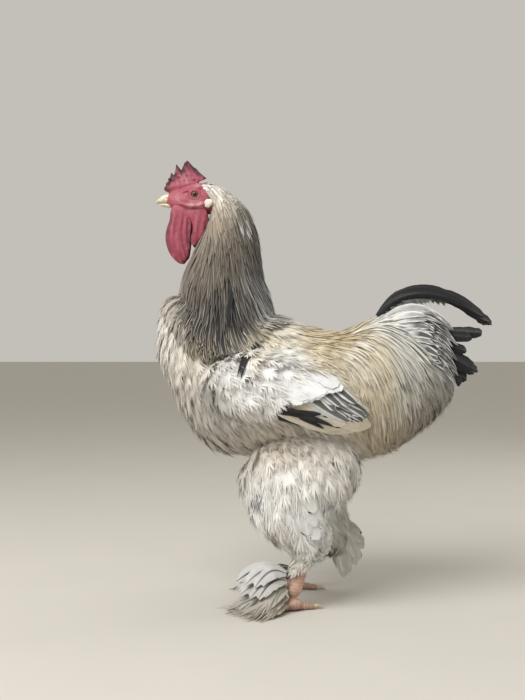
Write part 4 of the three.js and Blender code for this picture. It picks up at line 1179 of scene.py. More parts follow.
def build_skin(sizes):
    """One skin for all the flesh: plumed body, bare face with comb and wattles, and scaled legs."""
    body = fused(body_parts(sizes), voxel=3.2, smooth=6)
    face_parts = [Form(HEAD_STATIONS).mesh(40, 36), Form(COMB_FOOT).mesh(24, 20), comb_mesh()]
    for x, z, radius in COMB_KNOBS:
        face_parts.append(ball_mesh((x, 0, z), (radius, COMB_THICK / 2 + 1.6, radius), 10, 14))
    for side in (LEFT, RIGHT):
        folds = (WATTLE_FRONT, WATTLE_REAR, CHEEK_FOLD, BROW_FOLD)
        face_parts += [Form(row, side=side).mesh(30, 24) for row in folds]
        for radius, thick, out in LID_RINGS:
            face_parts.append(ring_mesh((EYE["x"], side * (EYE["y"] + out), EYE["z"]), radius, thick))
    face_v, face_t = fused(face_parts, voxel=0.85, smooth=2)
    flat = np.abs(vertex_normals(face_v, face_t)[:, 1])
    hanging = np.clip((604 - face_v[:, 2]) / 20, 0, 1) * np.clip((face_v[:, 2] - 520) / 12, 0, 1)
    upright = np.clip((face_v[:, 2] - 644) / 8, 0, 1)
    swell = hanging * ripple(face_v, 0.12, 9, 5) * 0.6 + upright * ripple(face_v, 0.5, 8, 2) * 0.8
    face_v += vertex_normals(face_v, face_t) * (swell * flat)[:, None]

    legs = []
    for leg in LEGS.values():
        forms = [shank_form(leg).mesh(30, 24), *(toe_form(leg, toe).mesh(24, 14) for toe in TOES)]
        forms.append(ball_mesh((leg["ankle"][0], leg["side"] * STANCE, 9.6), (14, 14, 9)))
        legs.append(fused(forms, voxel=1.2, smooth=2))
    leg_v, leg_t = join(legs)
    band = ripple(leg_v[:, [2, 1, 0]], 0.1, 5, 0.5) * np.clip((leg_v[:, 2] - 22) / 6, 0, 1)
    rung = ripple(leg_v, 0.1, 4.6, 0.5) * np.clip((18 - leg_v[:, 2]) / 6, 0, 1)
    leg_v += vertex_normals(leg_v, leg_t) * (0.4 * (band + rung))[:, None]
    leg_v[:, 2] = np.maximum(leg_v[:, 2], SKIN_CLEAR)
    leg_tint = rgb(LEG_PINK) * (1 + 0.12 * (band + rung))[:, None]
    leg_tint = lerp(leg_tint, rgb(0x8A6A58), 0.6 * np.clip((14 - leg_v[:, 2]) / 14, 0, 1)[:, None])

    verts, tris = join([body, (face_v, face_t), (leg_v, leg_t)])
    mesh = mesh_of("skin", verts, tris)
    set_tint(mesh, np.vstack([plumage_colour(body[0]), face_colours(face_v), leg_tint]))
    # Plucked skin: pale and soft, it only shows as a shade between feathers
    mesh.materials.append(skin_material("plucked skin, pale and soft", 0.8, 3.0, 0.3, 0.1))
    # Bare face, comb and wattles: living skin with a pebbled grain that breaks up its sheen
    mesh.materials.append(skin_material("bare face skin, pebbled", 0.52, 1.3, 0.6, 0.25, wrinkle_mm=6.0))
    # Leg skin: dry overlapping scales with a dull polish
    mesh.materials.append(skin_material("scaled leg skin, dry", 0.55, 2.6, 0.5, 0.22))
    kinds = np.repeat([0, 1, 2], [len(body[1]), len(face_t), len(leg_t)]).astype(np.int32)
    mesh.polygons.foreach_set("material_index", kinds)
    flesh = ["torso", "rump", "neck", "head", "comb", "tail"]
    flesh += [f"{part}_{side}" for part in ("wing", "thigh", "shank", "foot", "wattle") for side in SIDES]
    piece("skin", mesh, None, flesh)
    head = Form(HEAD_STATIONS, coat=1).mesh(20, 20)
    state["bed"] = Bed(*fused(body_parts(sizes) + [head], voxel=5.0, smooth=5))


HEM = [  # x and z of the hackle's lower edge, as seen from the side
    (-250, 466), (-236, 466), (-228, 452), (-220, 424), (-209, 396), (-198, 374), (-170, 364), (-141, 358),
    (-126, 380), (-112, 402), (-90, 410), (-76, 414), (-60, 432), (-40, 440),
]


def hem_z(x):
    xs, zs = np.array(HEM, float).T
    return np.interp(x, xs, zs)


def in_thigh(p):
    x, y, z = p.T
    return (z < 232) & (np.abs(y) > 14) & (x > -140) & (x < 95)


def in_wing(p, margin=0.0):
    """Whether a place on the flank lies under the folded wing."""
    x, y, z = p.T
    dx, dz = x + 62, z - 328
    tilt = math.radians(17)
    a = (dx * math.cos(tilt) - dz * math.sin(tilt)) / (112 + margin)
    b = (dx * math.sin(tilt) + dz * math.cos(tilt)) / (44 + margin)
    return (a**2 + b**2 < 1) & (np.abs(y) > 55)


def one_side(inside, side):
    return lambda p: inside(p) & (p[:, 1] * side > 0)


# Kinds of keratin: name, roughness, distance between barbs, relief, depth of shade and sheen
KERATIN = {
    # Loose barbs catch light at their edges, so the coat looks soft and has no gloss
    "soft": ("soft keratin, loose barbs", 0.9, 1.6, 0.15, 0.06, 0.3),
    # Zipped barbs lie in one sheet with a faint silk
    "firm": ("vane keratin, zipped barbs", 0.62, 1.4, 0.2, 0.1, 0.15),
    # Dark stiff feathers have more polish than pale ones
    "tail": ("tail keratin, dark and polished", 0.36, 1.5, 0.25, 0.25, 0.05),
}


def keratin(kind):
    """The material of one kind of feather, made when it is first asked for."""
    if kind not in state:
        state[kind] = feather_material(*KERATIN[kind])
    return state[kind]


SEEN_SHARE = 0.7  # share of a feather's length where it shows beyond the feathers over it


def seen_colour(lines, rng, shade):
    """The plumage's colour where most of each feather shows, with small differences between feathers."""
    seen = lines[:, int(lines.shape[1] * SEEN_SHARE)]
    return plumage_colour(seen) * (1 + rng.normal(0, shade, len(lines)))[:, None]


def loose_coat(roots, seed, length, width, lift, barbs=12, hug=0.7, puff=0.14, swing=0.22, dark=0.0,
               shade=0.05, pale=0.0, fray=0.2, clump=0.55, forward=0.4):
    """Soft feathers at roots, in the local colour.

    pale is how far their tips go to white, dark the share of them with a slate tip, swing how far they
    turn off the lie of the coat, in radians, and shade how much they differ.
    """
    bed = state["bed"]
    rng = np.random.default_rng(seed)
    count = len(roots)
    headings, ups = bed.headings(roots)
    headings = turned(headings, ups, rng.normal(0, swing, count))
    long = length * (1 + rng.normal(0, 0.14, count))
    high = lift * (1 + rng.normal(0, 0.2, count))
    lines, facings = bed.lay(roots, headings, long, high, steps=4, hug=hug)
    ground = seen_colour(lines, rng, shade)
    ends = lerp(ground, rgb(WHITE), pale * rng.uniform(0.2, 1, (count, 1)))
    ends = np.where((rng.random(count) < dark)[:, None], rgb(SLATE), ends)
    wide = width * (1 + rng.normal(0, 0.12, count))
    return soft_feathers(lines, facings, wide, ground * 0.95, ends, barbs=barbs, puff=puff, fray=fray,
                         clump=clump, forward=forward, seed=seed + 1)


def on_trunk(p):
    x, _, z = p.T
    hidden = (z > hem_z(x) + 6) & (x < -50)
    return ~hidden & ~in_wing(p, -8) & ~in_thigh(p) & (x < 45) & (z > 205)


def on_breast(p):
    return on_trunk(p) & ((p[:, 0] < -150) | (p[:, 2] < 300))


def grow_body(sizes):
    bed, step = state["bed"], sizes.down_spacing
    for number, (name, side) in enumerate(SIDES.items()):
        seed = SEED + 100 + 10 * number
        roots = bed.scatter(one_side(on_breast, side), step, seed)
        breast = loose_coat(roots, seed + 1, length=36, width=15, lift=sizes.body_depth * 0.9, barbs=15,
                            puff=0.1, pale=0.3, clump=0.3, fray=0.3, forward=0.5)
        feather_piece(f"breast_feathers_{name}", [breast], keratin("soft"))
        roots = bed.scatter(one_side(lambda p: on_trunk(p) & ~on_breast(p), side), step, seed + 3)
        back = loose_coat(roots, seed + 4, length=36, width=15, lift=sizes.body_depth * 0.75, barbs=15,
                          puff=0.08, dark=0.012, clump=0.3, fray=0.3, forward=0.5)
        feather_piece(f"back_feathers_{name}", [back], keratin("soft"))


def grow_thighs(sizes):
    bed = state["bed"]
    for number, (name, side) in enumerate(SIDES.items()):
        seed = SEED + 130 + 10 * number
        inside = one_side(lambda p: in_thigh(p) & (p[:, 2] > 62), side)
        roots = bed.scatter(inside, sizes.down_spacing * 0.95, seed)
        coat = loose_coat(roots, seed + 1, length=42, width=19, lift=sizes.thigh_depth * 0.9, barbs=18,
                          puff=0.12, hug=0.7, swing=0.34, pale=0.5, dark=0.003, clump=0.25, fray=0.35,
                          forward=0.5)
        feather_piece(f"thigh_feathers_{name}", [coat], keratin("soft"))


def on_rear(p):
    x, y, z = p.T
    top = np.interp(x, [38, 100, 135, 165, 200], [360, 375, 384, 362, 345])
    return (x > 38) & (z > 205) & (z < top) & ~((z < 232) & (np.abs(y) > 60) & (x < 60))


def grow_rear(sizes):
    bed = state["bed"]
    for number, (name, side) in enumerate(SIDES.items()):
        seed = SEED + 160 + 10 * number
        roots = bed.scatter(one_side(on_rear, side), sizes.down_spacing, seed)
        coat = loose_coat(roots, seed + 1, length=46, width=15, lift=sizes.body_depth * 0.9, barbs=15,
                          puff=0.12, hug=0.6, swing=0.26, dark=0.03, fray=0.35, clump=0.35, forward=0.5)
        feather_piece(f"rear_fluff_{name}", [coat], keratin("soft"))


def on_saddle(p):
    x, _, z = p.T
    low = np.interp(x, [-60, -20, 40, 57, 100, 150], [415, 396, 358, 335, 325, 345])
    tail_root = np.interp(z, [350, 400, 420], [124, 112, 96])
    return (x > -55) & (x < tail_root) & (z > low) & ~in_wing(p, -6)


SADDLE_SPACING = 4.4


def grow_saddle(sizes):
    """Long narrow feathers from the back, draped over the flanks in front of the tail."""
    bed = state["bed"]
    for number, (name, side) in enumerate(SIDES.items()):
        seed = SEED + 190 + 10 * number
        rng = np.random.default_rng(seed)
        roots = bed.scatter(one_side(on_saddle, side), SADDLE_SPACING, seed + 1)
        count = len(roots)
        headings, ups = bed.headings(roots)
        headings = turned(headings, ups, rng.normal(0, 0.14, count))
        length = np.interp(roots[:, 0], [-50, 0, 50, 80, 115], [0.5, 0.7, 1.0, 0.95, 0.6])
        length = length * np.where((roots[:, 0] > 70) & (roots[:, 2] > 415), 0.5, 1)
        length = length * sizes.saddle_length * (1 + rng.normal(0, 0.14, count))
        wing_top = np.interp(roots[:, 0], [-47, 30, 57], [396, 350, 200])
        length = np.minimum(length, 26 + np.maximum(roots[:, 2] - wing_top, 0) * 1.3)
        lift = sizes.body_depth * (1.0 + rng.normal(0, 0.18, count))
        lines, facings = bed.lay(roots, headings, length, lift, steps=8, hug=0.55, base=2)
        ground = seen_colour(lines, rng, 0.08)
        white = rng.random(count) < 0.2
        ground[white] = lerp(ground[white], rgb(WHITE), 0.6)
        coat = stiff_feathers(lines, facings, rng.uniform(3, 6, count), ground, rows=8, tip=0.08, root=0.35,
                              ragged=0.16, cup=0.3, fringe=lerp(ground, rgb(WHITE), 0.3), full=0.45,
                              columns=PLAIN_COLUMNS, roll=rng.normal(0, 0.2, count), seed=seed + 2)
        feather_piece(f"saddle_feathers_{name}", [coat], keratin("firm"))


GOLDEN_TURN = 2.399963  # turn in radians from one root to the next that spreads them evenly round the neck
HACKLE_WARMTH = np.array([1.06, 1.0, 0.92])  # red, green and blue of the cape against the local colour


def grow_hackle(sizes):
    """The cape: long narrow feathers, dark along the shaft and pale at the edge."""
    bed = state["bed"]
    rng = np.random.default_rng(SEED + 220)
    cape = Form(CAPE_STATIONS)
    u = np.linspace(0.04, 0.88, 200)
    girth = np.interp(u, [0, 0.25, 0.5, 0.9], [0.3, 0.8, 1.0, 1.2])
    count = sizes.hackle_count
    rows = np.interp((np.arange(count) + rng.random(count)) / count, np.cumsum(girth) / girth.sum(), u)
    turn = (np.arange(count) * GOLDEN_TURN + rng.normal(0, 0.2, count)) % (2 * math.pi)
    roots = cape.point(rows, turn)
    throat = (roots[:, 0] < -186) & (roots[:, 2] > 555)
    face_end = np.interp(roots[:, 2], [540, 563, 590, 610, 625, 645], [-196, -186, -176, -168, -174, -196])
    face = (roots[:, 0] < face_end) & (roots[:, 2] > 540)
    keep = ~throat & ~face & (roots[:, 2] > hem_z(roots[:, 0]) + 22)
    roots = roots[keep]
    count = len(roots)
    headings, ups = bed.headings(roots)
    headings = turned(headings, ups, rng.normal(0, 0.07, count))
    longest = np.interp(roots[:, 2], [400, 480, 560, 600, 640], [112, 104, 78, 54, 34])
    drop = roots[:, 2] - hem_z(roots[:, 0]) + rng.normal(0, 6, count)
    length = np.clip(np.minimum(longest * (1 + rng.normal(0, 0.08, count)), drop * 1.03), 22, 130)
    lift = np.interp(roots[:, 2], [380, 500, 600, 640], [14, 12, 7, 3.5]) * (1 + rng.normal(0, 0.12, count))
    lines, facings = bed.lay(roots, headings, length, lift, steps=9, hug=0.65, base=1, follow=0.4)
    seen = lines[:, 7]
    ground = seen_colour(lines, rng, 0.2) * np.interp(seen[:, 2], [540, 600], [0.68, 1.0])[:, None]
    ground = ground * HACKLE_WARMTH
    pale = (near(seen, -116, 566, 12) > 0.35) & (rng.random(count) < 0.5)
    ground[pale] = rgb(0xD8D8D6)
    mark = np.clip(marking(seen) * rng.uniform(0.7, 1.4, count) + 0.25, 0, 1)
    along = np.clip(np.linspace(0, 1, 10) * 4 - 0.6, 0, 1) * np.array([1] * 8 + [0.9, 0.3])
    streak = lerp(ground * 0.4, rgb(BLACK), np.clip(marking(seen) * 1.5, 0, 1)[:, None])
    fringe = lerp(ground, rgb(0xD6CFC0), rng.uniform(0.1, 0.75, (count, 1)) ** 1.5)
    width = sizes.hackle_width * np.interp(roots[:, 2], [400, 560, 640], [1.25, 0.95, 0.65])
    width = width * (1 + rng.normal(0, 0.12, count))
    roll = rng.normal(0, 0.12, count)
    for number, (name, side) in enumerate(SIDES.items()):
        own = roots[:, 1] * side > 0
        coat = stiff_feathers(lines[own], facings[own], width[own], ground[own], streak[own],
                              mark[own][:, None] * along, fringe=fringe[own], rows=9, tip=0.1, root=0.35,
                              ragged=0.12, cup=0.3, roll=roll[own], seed=SEED + 230 + number)
        feather_piece(f"hackle_feathers_{name}", [coat, black_stripes(side, rng)], keratin("firm"))


# Black stripes at the rear of the hackle: root as seen from the side, length, way it hangs and width
STRIPES = [((-123, 498), 64, (-13, -53), 4.5), ((-97, 442), 82, (-34, -62), 5.5)]
STRIPE_FEATHERS = 5


def black_stripes(side, rng):
    """A few long black feathers close together for each bold stripe."""
    bed = state["bed"]
    shape = (len(STRIPES), STRIPE_FEATHERS)
    x, z = (np.array([row[0][k] for row in STRIPES])[:, None] + rng.normal(0, 1.8, shape) for k in (0, 1))
    way = unit(np.array([(row[2][0], 0, row[2][1]) for row in STRIPES], float))
    roots = bed.side_roots(x.ravel(), z.ravel(), side)
    length = np.repeat([row[1] for row in STRIPES], STRIPE_FEATHERS) * rng.uniform(0.8, 1.05, len(roots))
    width = np.repeat([row[3] for row in STRIPES], STRIPE_FEATHERS)
    lines, facings = bed.lay(roots, np.repeat(way, STRIPE_FEATHERS, 0), length, 16.0, steps=9, hug=0.8,
                             base=9, follow=0.05)
    ground = np.tile(rgb(BLACK), (len(roots), 1))
    return stiff_feathers(lines, facings, width, ground, ground, np.ones((len(roots), 10)), rows=9, tip=0.1,
                          fringe=np.tile(rgb(0x4A4C52), (len(roots), 1)), cup=0.3, seed=SEED + 240)


# Rows of flight feathers, lowest first: first and last root as seen from the side, count, length, width,
# slope in degrees, lift, ground colour, streak colour, how much streak shows and how blunt the tip is
WING_ROWS = [
    ((-116, 290), (-52, 281), 7, 100, 11, 7, 13, 0x26262A, BLACK, 1.0, 0.4),
    ((-96, 308), (-34, 320), 8, 112, 25, 24, 14, 0xE6DECB, 0xCDC2AB, 0.35, 0.6),
    ((-106, 305), (-70, 298), 4, 70, 8, 12, 17, 0x1C1C20, BLACK, 1.0, 0.3),
    ((-52, 332), (-18, 350), 6, 90, 17, 33, 15, 0xDCDCDA, BLACK, 1.0, 0.5),
    ((-34, 358), (-4, 370), 4, 66, 17, 44, 16, 0xE3E3E2, BLACK, 0.9, 0.5),
    ((-76, 346), (-22, 384), 9, 58, 27, 38, 17, 0xF6F7F8, COLD_WHITE, 0.0, 0.7),
]


def grow_wing(name, side, sizes):
    """A folded wing: flight feathers lowest, then soft coverts over their roots."""
    bed = state["bed"]
    grown = []
    for number, row in enumerate(WING_ROWS):
        first, last, count, length, width, slope, lift, ground, streak, much, tip = row
        rng = np.random.default_rng(SEED + 250 + number)
        for layer in (0, 1):
            t = (np.arange(count) + 0.5 * layer) / max(count - 1, 1)
            x = lerp(first[0], last[0], t) + rng.normal(0, 2, count)
            z = lerp(first[1], last[1], t) + rng.normal(0, 2, count)
            roots = bed.side_roots(x, z, side)
            tilt = np.radians(slope + rng.normal(0, 4, count))
            headings = np.stack([np.cos(tilt), 0 * tilt, -np.sin(tilt)], 1)
            high = lift + 1.2 * layer + rng.normal(0, 0.6, count)
            long = length * (1 + rng.normal(0, 0.07, count))
            lines, facings = bed.lay(roots, headings, long, high, steps=8, hug=0.5, base=high * 0.35,
                                     follow=0.0)
            base = rgb(ground) * (1 + rng.normal(0, 0.05, count))[:, None]
            shown = much * np.ones((count, 10)) * rng.uniform(0.7, 1, (count, 1))
            grown.append(stiff_feathers(lines, facings, width * (1 + rng.normal(0, 0.08, count)), base,
                                        np.broadcast_to(rgb(streak), (count, 3)), shown, rows=9, tip=tip,
                                        root=0.35, ragged=0.07, cup=0.16, seed=SEED + 270 + number, full=0.6,
                                        roll=side * math.radians(8)))
    feather_piece(f"flight_feathers_{name}", grown, keratin("firm"))

    def coverts(p):
        x, _, z = p.T
        low = np.interp(x, [-130, -100, -85, -60, -25], [290, 300, 322, 362, 380])
        return in_wing(p, 14) & (x < -25) & (z > low)

    roots = bed.scatter(one_side(coverts, side), sizes.down_spacing, SEED + 290)
    soft = loose_coat(roots, SEED + 291, length=36, width=24, lift=14, barbs=18, puff=0.08, hug=0.9, pale=0.6,
                      swing=0.2, dark=0.006, clump=0.3, fray=0.2, forward=0.45)
    feather_piece(f"wing_coverts_{name}", [soft], keratin("soft"))


def bezier(a, b, c, s):
    s = s[:, None]
    return (1 - s) ** 2 * a + 2 * s * (1 - s) * b + s**2 * c


# Highest and lowest covert of the tail, each by its root, the point that bends it and its tip, as seen
# from the side. Each row of coverts has its y, its reach against those two and its count
COVERT_TOP = np.array([(96, 440), (142, 468), (190, 428)], float)
COVERT_LOW = np.array([(136, 384), (172, 380), (200, 330)], float)
COVERT_ROWS = [(8, 1.04, 20), (14, 0.94, 20), (19, 0.84, 18), (24, 0.72, 16), (27, 0.58, 14)]


def grow_tail_coverts():
    """White feathers that arch from the end of the back over the tail's roots, some with a black streak."""
    rng = np.random.default_rng(SEED + 300)
    lines, facings = [], []
    s = np.linspace(0, 1, 9)
    for side in (LEFT, RIGHT):
        for y, reach, count in COVERT_ROWS:
            for k in range(count):
                t = np.clip((k + rng.normal(0, 0.4)) / (count - 1), 0, 1)
                a, b, c = lerp(COVERT_TOP, COVERT_LOW, t)
                flat = bezier(a, b, c, s * reach * (1 + rng.normal(0, 0.05)))
                out = y - 4 + (y * 0.35 + 10) * np.sqrt(s) + rng.normal(0, 1)
                lines.append(np.stack([flat[:, 0], side * out, flat[:, 1]], 1))
                facings.append(np.broadcast_to([0, side, 0.15], (9, 3)))
    lines, facings = np.array(lines), np.array(facings, float)
    count = len(lines)
    mark = marking(lines[:, 6])
    ground = rgb(0xEAEAE8) * (1 + rng.normal(0, 0.05, count))[:, None]
    shown = np.clip((np.linspace(0, 1, 10)[None, :] - 0.3) * 4, 0, 1) * np.clip(mark * 1.5, 0, 1)[:, None]
    shown = shown * rng.uniform(0.7, 1.0, (count, 1))
    coat = stiff_feathers(lines, facings, rng.uniform(9, 15, count), ground,
                          np.broadcast_to(rgb(BLACK), (count, 3)), shown, rows=9, tip=0.2, root=0.4,
                          ragged=0.12, cup=0.2, roll=rng.normal(0, 0.2, count), seed=SEED + 301)
    feather_piece("tail_coverts", [coat], keratin("firm"))


SICKLE = [(84, 438), (108, 464), (140, 477), (176, 475), (212, 461), (242, 438), (257, 425)]


def smooth_line(points, steps):
    """A curve through points at even steps."""
    points = np.array(points, float)
    return through(points, np.linspace(0, len(points) - 1, steps + 1))


SICKLE_TUFTS = 26  # tufts of grey fluff over the root of each sickle


def grow_sickles():
    """Two black feathers that arch over the tail, each with two shorter ones inside it and a grey root."""
    s = np.linspace(0, 1, 25)
    curve = smooth_line(SICKLE, 24)
    for number, (name, side) in enumerate(SIDES.items()):
        lines, facings = [], []
        for shift, out, reach in ((0, 0, 1.0), (-2.5, 2.0, 0.95), (-5, 3.2, 0.84)):
            flat = smooth_line(curve[: int(24 * reach) + 1], 24)
            y = side * (3 + 15 * s**2 + out)
            lines.append(np.stack([flat[:, 0], y, flat[:, 1] + shift * np.sin(math.pi * s)], 1))
            facings.append(np.broadcast_to([0, side, 0.2], (25, 3)))
        lines, facings = np.array(lines), np.array(facings, float)
        count = len(lines)
        worn = np.clip(np.linspace(0, 1, 25) * 3 - 2.4, 0, 0.5)[None] * np.ones((count, 1))
        vane = stiff_feathers(lines, facings, np.array([22.0, 19, 15]), np.tile(rgb(0x17181C), (count, 1)),
                              np.tile(rgb(0x5A564F), (count, 1)), worn, rows=24, tip=0.3, root=0.4,
                              ragged=0.12, cup=0.25, full=0.45, fringe=np.tile(rgb(0x202126), (count, 1)),
                              seed=SEED + 310 + number)
        rng = np.random.default_rng(SEED + 312 + number)
        tufts, ups = [], []
        for _ in range(SICKLE_TUFTS):
            at = curve[int(lerp(1, 12, rng.random()))]
            start = np.array([at[0], side * (4 + 3 * rng.random()), at[1] - 3])
            way = np.array([1.0, side * 0.1, rng.uniform(-0.75, -0.25)])
            tufts.append(start + way * (np.linspace(0, 1, 5) * rng.uniform(14, 24))[:, None])
            ups.append(np.broadcast_to([0, side, 0.2], (5, 3)))
        tufts, ups = np.array(tufts), np.array(ups, float)
        grey = rgb(0x8B8A88) * (1 + rng.normal(0, 0.15, len(tufts)))[:, None]
        fluff = soft_feathers(tufts, ups, 12.0, grey * 0.5, grey, barbs=9, fray=0.35, seed=SEED + 314)
        feather_piece(f"sickle_feathers_{name}", [vane, fluff], keratin("tail"),
                      (f"sickle_{name}",))


TAIL_QUILLS = [  # y, root and tip as seen from the side, width
    (3.5, (150, 402), (245, 411), 20), (6.0, (150, 398), (228, 403), 18), (4.0, (150, 392), (220, 384), 20),
    (6.5, (152, 386), (236, 352), 26), (5.0, (150, 382), (231, 362), 24), (3.0, (150, 378), (220, 340), 26),
    (7.5, (150, 374), (212, 334), 24),
]


def grow_tail_quills():
    """Stiff straight feathers inside the tail, black and worn square at the end."""
    rng = np.random.default_rng(SEED + 320)
    lines, facings, widths = [], [], []
    s = np.linspace(0, 1, 9)
    for side in (LEFT, RIGHT):
        for y, start, end, width in TAIL_QUILLS:
            x = lerp(start[0], end[0], s)
            z = lerp(start[1], end[1], s) + 5 * np.sin(math.pi * s) + rng.normal(0, 1)
            lines.append(np.stack([x, side * (y + 6 * s), z], 1))
            facings.append(np.broadcast_to([0, side, 0.1], (9, 3)))
            widths.append(width)
    lines, facings, widths = np.array(lines), np.array(facings, float), np.array(widths, float)
    ground = rgb(0x1C1D20) * (1 + rng.normal(0, 0.1, len(lines)))[:, None]
    coat = stiff_feathers(lines, facings, widths, ground, rows=9, tip=0.8, root=0.5, ragged=0.14, cup=0.12,
                          full=0.7, seed=SEED + 321)
    feather_piece("tail_quills", [coat], keratin("tail"))


DRAPED = 16  # broad feathers on the outside of each thigh


def grow_hocks():
    """Broad white feathers: draped down the outside of the thigh and fanned behind each hock."""
    bed = state["bed"]
    rng = np.random.default_rng(SEED + 330)
    lines, facings, widths = [], [], []
    s = np.linspace(0, 1, 9)
    grown = []
    for leg in LEGS.values():
        side, (hock_x, hock_z) = leg["side"], leg["hock"]
        for layer in range(4):
            for k in range(6):
                share = np.clip((k + 0.5 * (layer % 2) + rng.normal(0, 0.15)) / 5, 0, 1.05)
                slope = math.radians(lerp(38, 86, share))
                length = leg["plume"] * lerp(0.66, 1.12, share) * (1 - 0.12 * layer)
                x = hock_x - 6 - 10 * (layer > 1) + np.cos(slope) * length * s
                z = hock_z + 6 + 7 * layer - np.sin(slope) * length * s
                y = side * (STANCE - 6 + 6 * layer + 6 * s * (1 - 0.5 * s) + rng.normal(0, 1))
                lines.append(np.stack([x, y, z], 1))
                facings.append(np.broadcast_to([0.1, side, 0.1], (9, 3)))
                widths.append(22 * (1 + rng.normal(0, 0.08)))
        x = hock_x - 16 + rng.uniform(-26, 18, DRAPED)
        z = hock_z + 46 + rng.uniform(-22, 26, DRAPED)
        roots = bed.side_roots(x, z, side)
        headings = unit(np.stack([rng.uniform(0.25, 0.6, DRAPED), 0 * x, -np.ones(DRAPED)], 1))
        long = rng.uniform(44, 60, DRAPED)
        high = rng.uniform(13, 18, DRAPED)
        drape, ups = bed.lay(roots, headings, long, high, steps=8, hug=0.3, base=5, follow=0.0)
        colour = rgb(0xF2F3F3) * (1 + rng.normal(0, 0.02, DRAPED))[:, None]
        grown.append(stiff_feathers(drape, ups, rng.uniform(22, 30, DRAPED), colour, rows=9, tip=0.72,
                                    root=0.5, ragged=0.05, cup=0.28, full=0.6, seed=SEED + 331,
                                    columns=PLAIN_COLUMNS))
    lines, facings, widths = np.array(lines), np.array(facings, float), np.array(widths)
    ground = rgb(0xE9E7E1) * (1 + rng.normal(0, 0.04, len(lines)))[:, None]
    grown.append(stiff_feathers(lines, facings, widths, ground, rows=9, tip=0.6, root=0.5, ragged=0.07,
                                cup=0.2, full=0.6, roll=rng.normal(0, 0.15, len(lines)), seed=SEED + 332,
                                columns=PLAIN_COLUMNS))
    feather_piece("hock_feathers", grown, keratin("firm"))


SHANK_FEATHERS = 34


def grow_shanks():
    """Short rounded feathers down the outside and front of each shank, leaving its lower part bare."""
    rng = np.random.default_rng(SEED + 340)
    lines, facings = [], []
    s = np.linspace(0, 1, 7)
    for leg in LEGS.values():
        side = leg["side"]
        for k in range(SHANK_FEATHERS):
            share = lerp(0.0, 0.42, (k + rng.random()) / SHANK_FEATHERS)
            x, z = (lerp(h, a, share) for h, a in zip(leg["hock"], leg["ankle"]))
            turn = rng.uniform(-0.4, 1.5)
            out = np.array([-math.sin(turn), side * math.cos(turn), 0])
            root = np.array([x, side * STANCE, z]) + out * SHANK_RADIUS * 0.8
            fall = np.array([-0.45 - 0.2 * math.sin(turn), 0, -1.0])
            fall /= np.linalg.norm(fall)
            lines.append(root + fall * (rng.uniform(24, 34) * s)[:, None] + out * (9 * s**0.7)[:, None])
            facings.append(np.broadcast_to(out, (7, 3)))
    lines, facings = np.array(lines), np.array(facings, float)
    count = len(lines)
    ground = rgb(0xD6D2C9) * (1 + rng.normal(0, 0.07, count))[:, None]
    coat = soft_feathers(lines, facings, rng.uniform(15, 20, count), ground * 0.85, ground, fray=0.12,
                         seed=SEED + 341)
    feather_piece("shank_feathers", [coat], keratin("soft"))


# Feathers of a foot, lowest first: count, root height, tip height, arch, reach, widest turn out, width, wear
FOOT_LAYERS = [
    (9, 12, 1, 4, 82, 48, 20, 1.0),
    (9, 22, 3, 6, 80, 44, 20, 0.9),
    (8, 34, 10, 8, 76, 38, 22, 0.6),
    (6, 46, 28, 12, 80, 32, 25, 0.2),
    (5, 56, 42, 14, 80, 24, 27, 0.0),
]
FRAYED = 0.4  # wear above which a foot feather also has loose barbs over it


def grow_feet():
    """Feathers over the toes: pale fans with dark shafts above, ragged soiled ones down to the floor."""
    rng = np.random.default_rng(SEED + 350)
    grown = []
    s = np.linspace(0, 1, 9)
    for leg in LEGS.values():
        side, ankle = leg["side"], leg["ankle"][0]
        for count, root_z, tip_z, arch, reach, widest, width, worn in FOOT_LAYERS:
            lines = []
            if side == RIGHT:
                # The feathers of the far foot lie flatter on the floor
                root_z, tip_z, arch = root_z * 0.6, tip_z * 0.3 + 2, arch * 0.5
            for k in range(count):
                t = np.clip((k + rng.normal(0, 0.25)) / (count - 1), 0, 1)
                turn = math.radians(lerp(-16, widest, t))
                length = lerp(reach, reach * 0.6, t) * (1 + rng.normal(0, 0.06))
                far = 10 + length * s
                x = ankle - math.cos(turn) * far
                y = side * (STANCE + 5 + math.sin(turn) * far + 6 * s)
                z = lerp(root_z, tip_z, s) + arch * np.sin(math.pi * s) + rng.normal(0, 2) * s
                lines.append(np.stack([x, y, np.maximum(z, 1.2)], 1))
            lines = np.array(lines)
            facings = np.broadcast_to([-0.1, side * 0.75, 0.66], lines.shape).copy()
            ground = lerp(rgb(0xCFCECB), rgb(0xAFA38D), worn * rng.uniform(0.5, 1, (count, 1)))
            shaft = np.tile(rgb(0x343844), (count, 1))
            shown = np.clip(2.6 - 2 * np.linspace(0, 1, 10), 0, 1)[None] * rng.uniform(0.6, 1, (count, 1))
            wide = width * (1 + rng.normal(0, 0.1, count))
            grown.append(stiff_feathers(lines, facings, wide, ground, shaft, shown * (1 - 0.5 * worn), rows=9,
                                        tip=0.4, root=0.3, ragged=0.1 + 0.25 * worn, cup=0.2, full=0.6,
                                        columns=QUILL_COLUMNS, seed=SEED + 351))
            if worn > FRAYED:
                grown.append(soft_feathers(lines + facings * 1.5, facings, width * 0.9, ground * 0.8, ground,
                                           barbs=15, fray=0.35, puff=0.15, clump=0.7, forward=0.5,
                                           seed=SEED + 352))
    feather_piece("foot_feathers", grown, keratin("firm"))


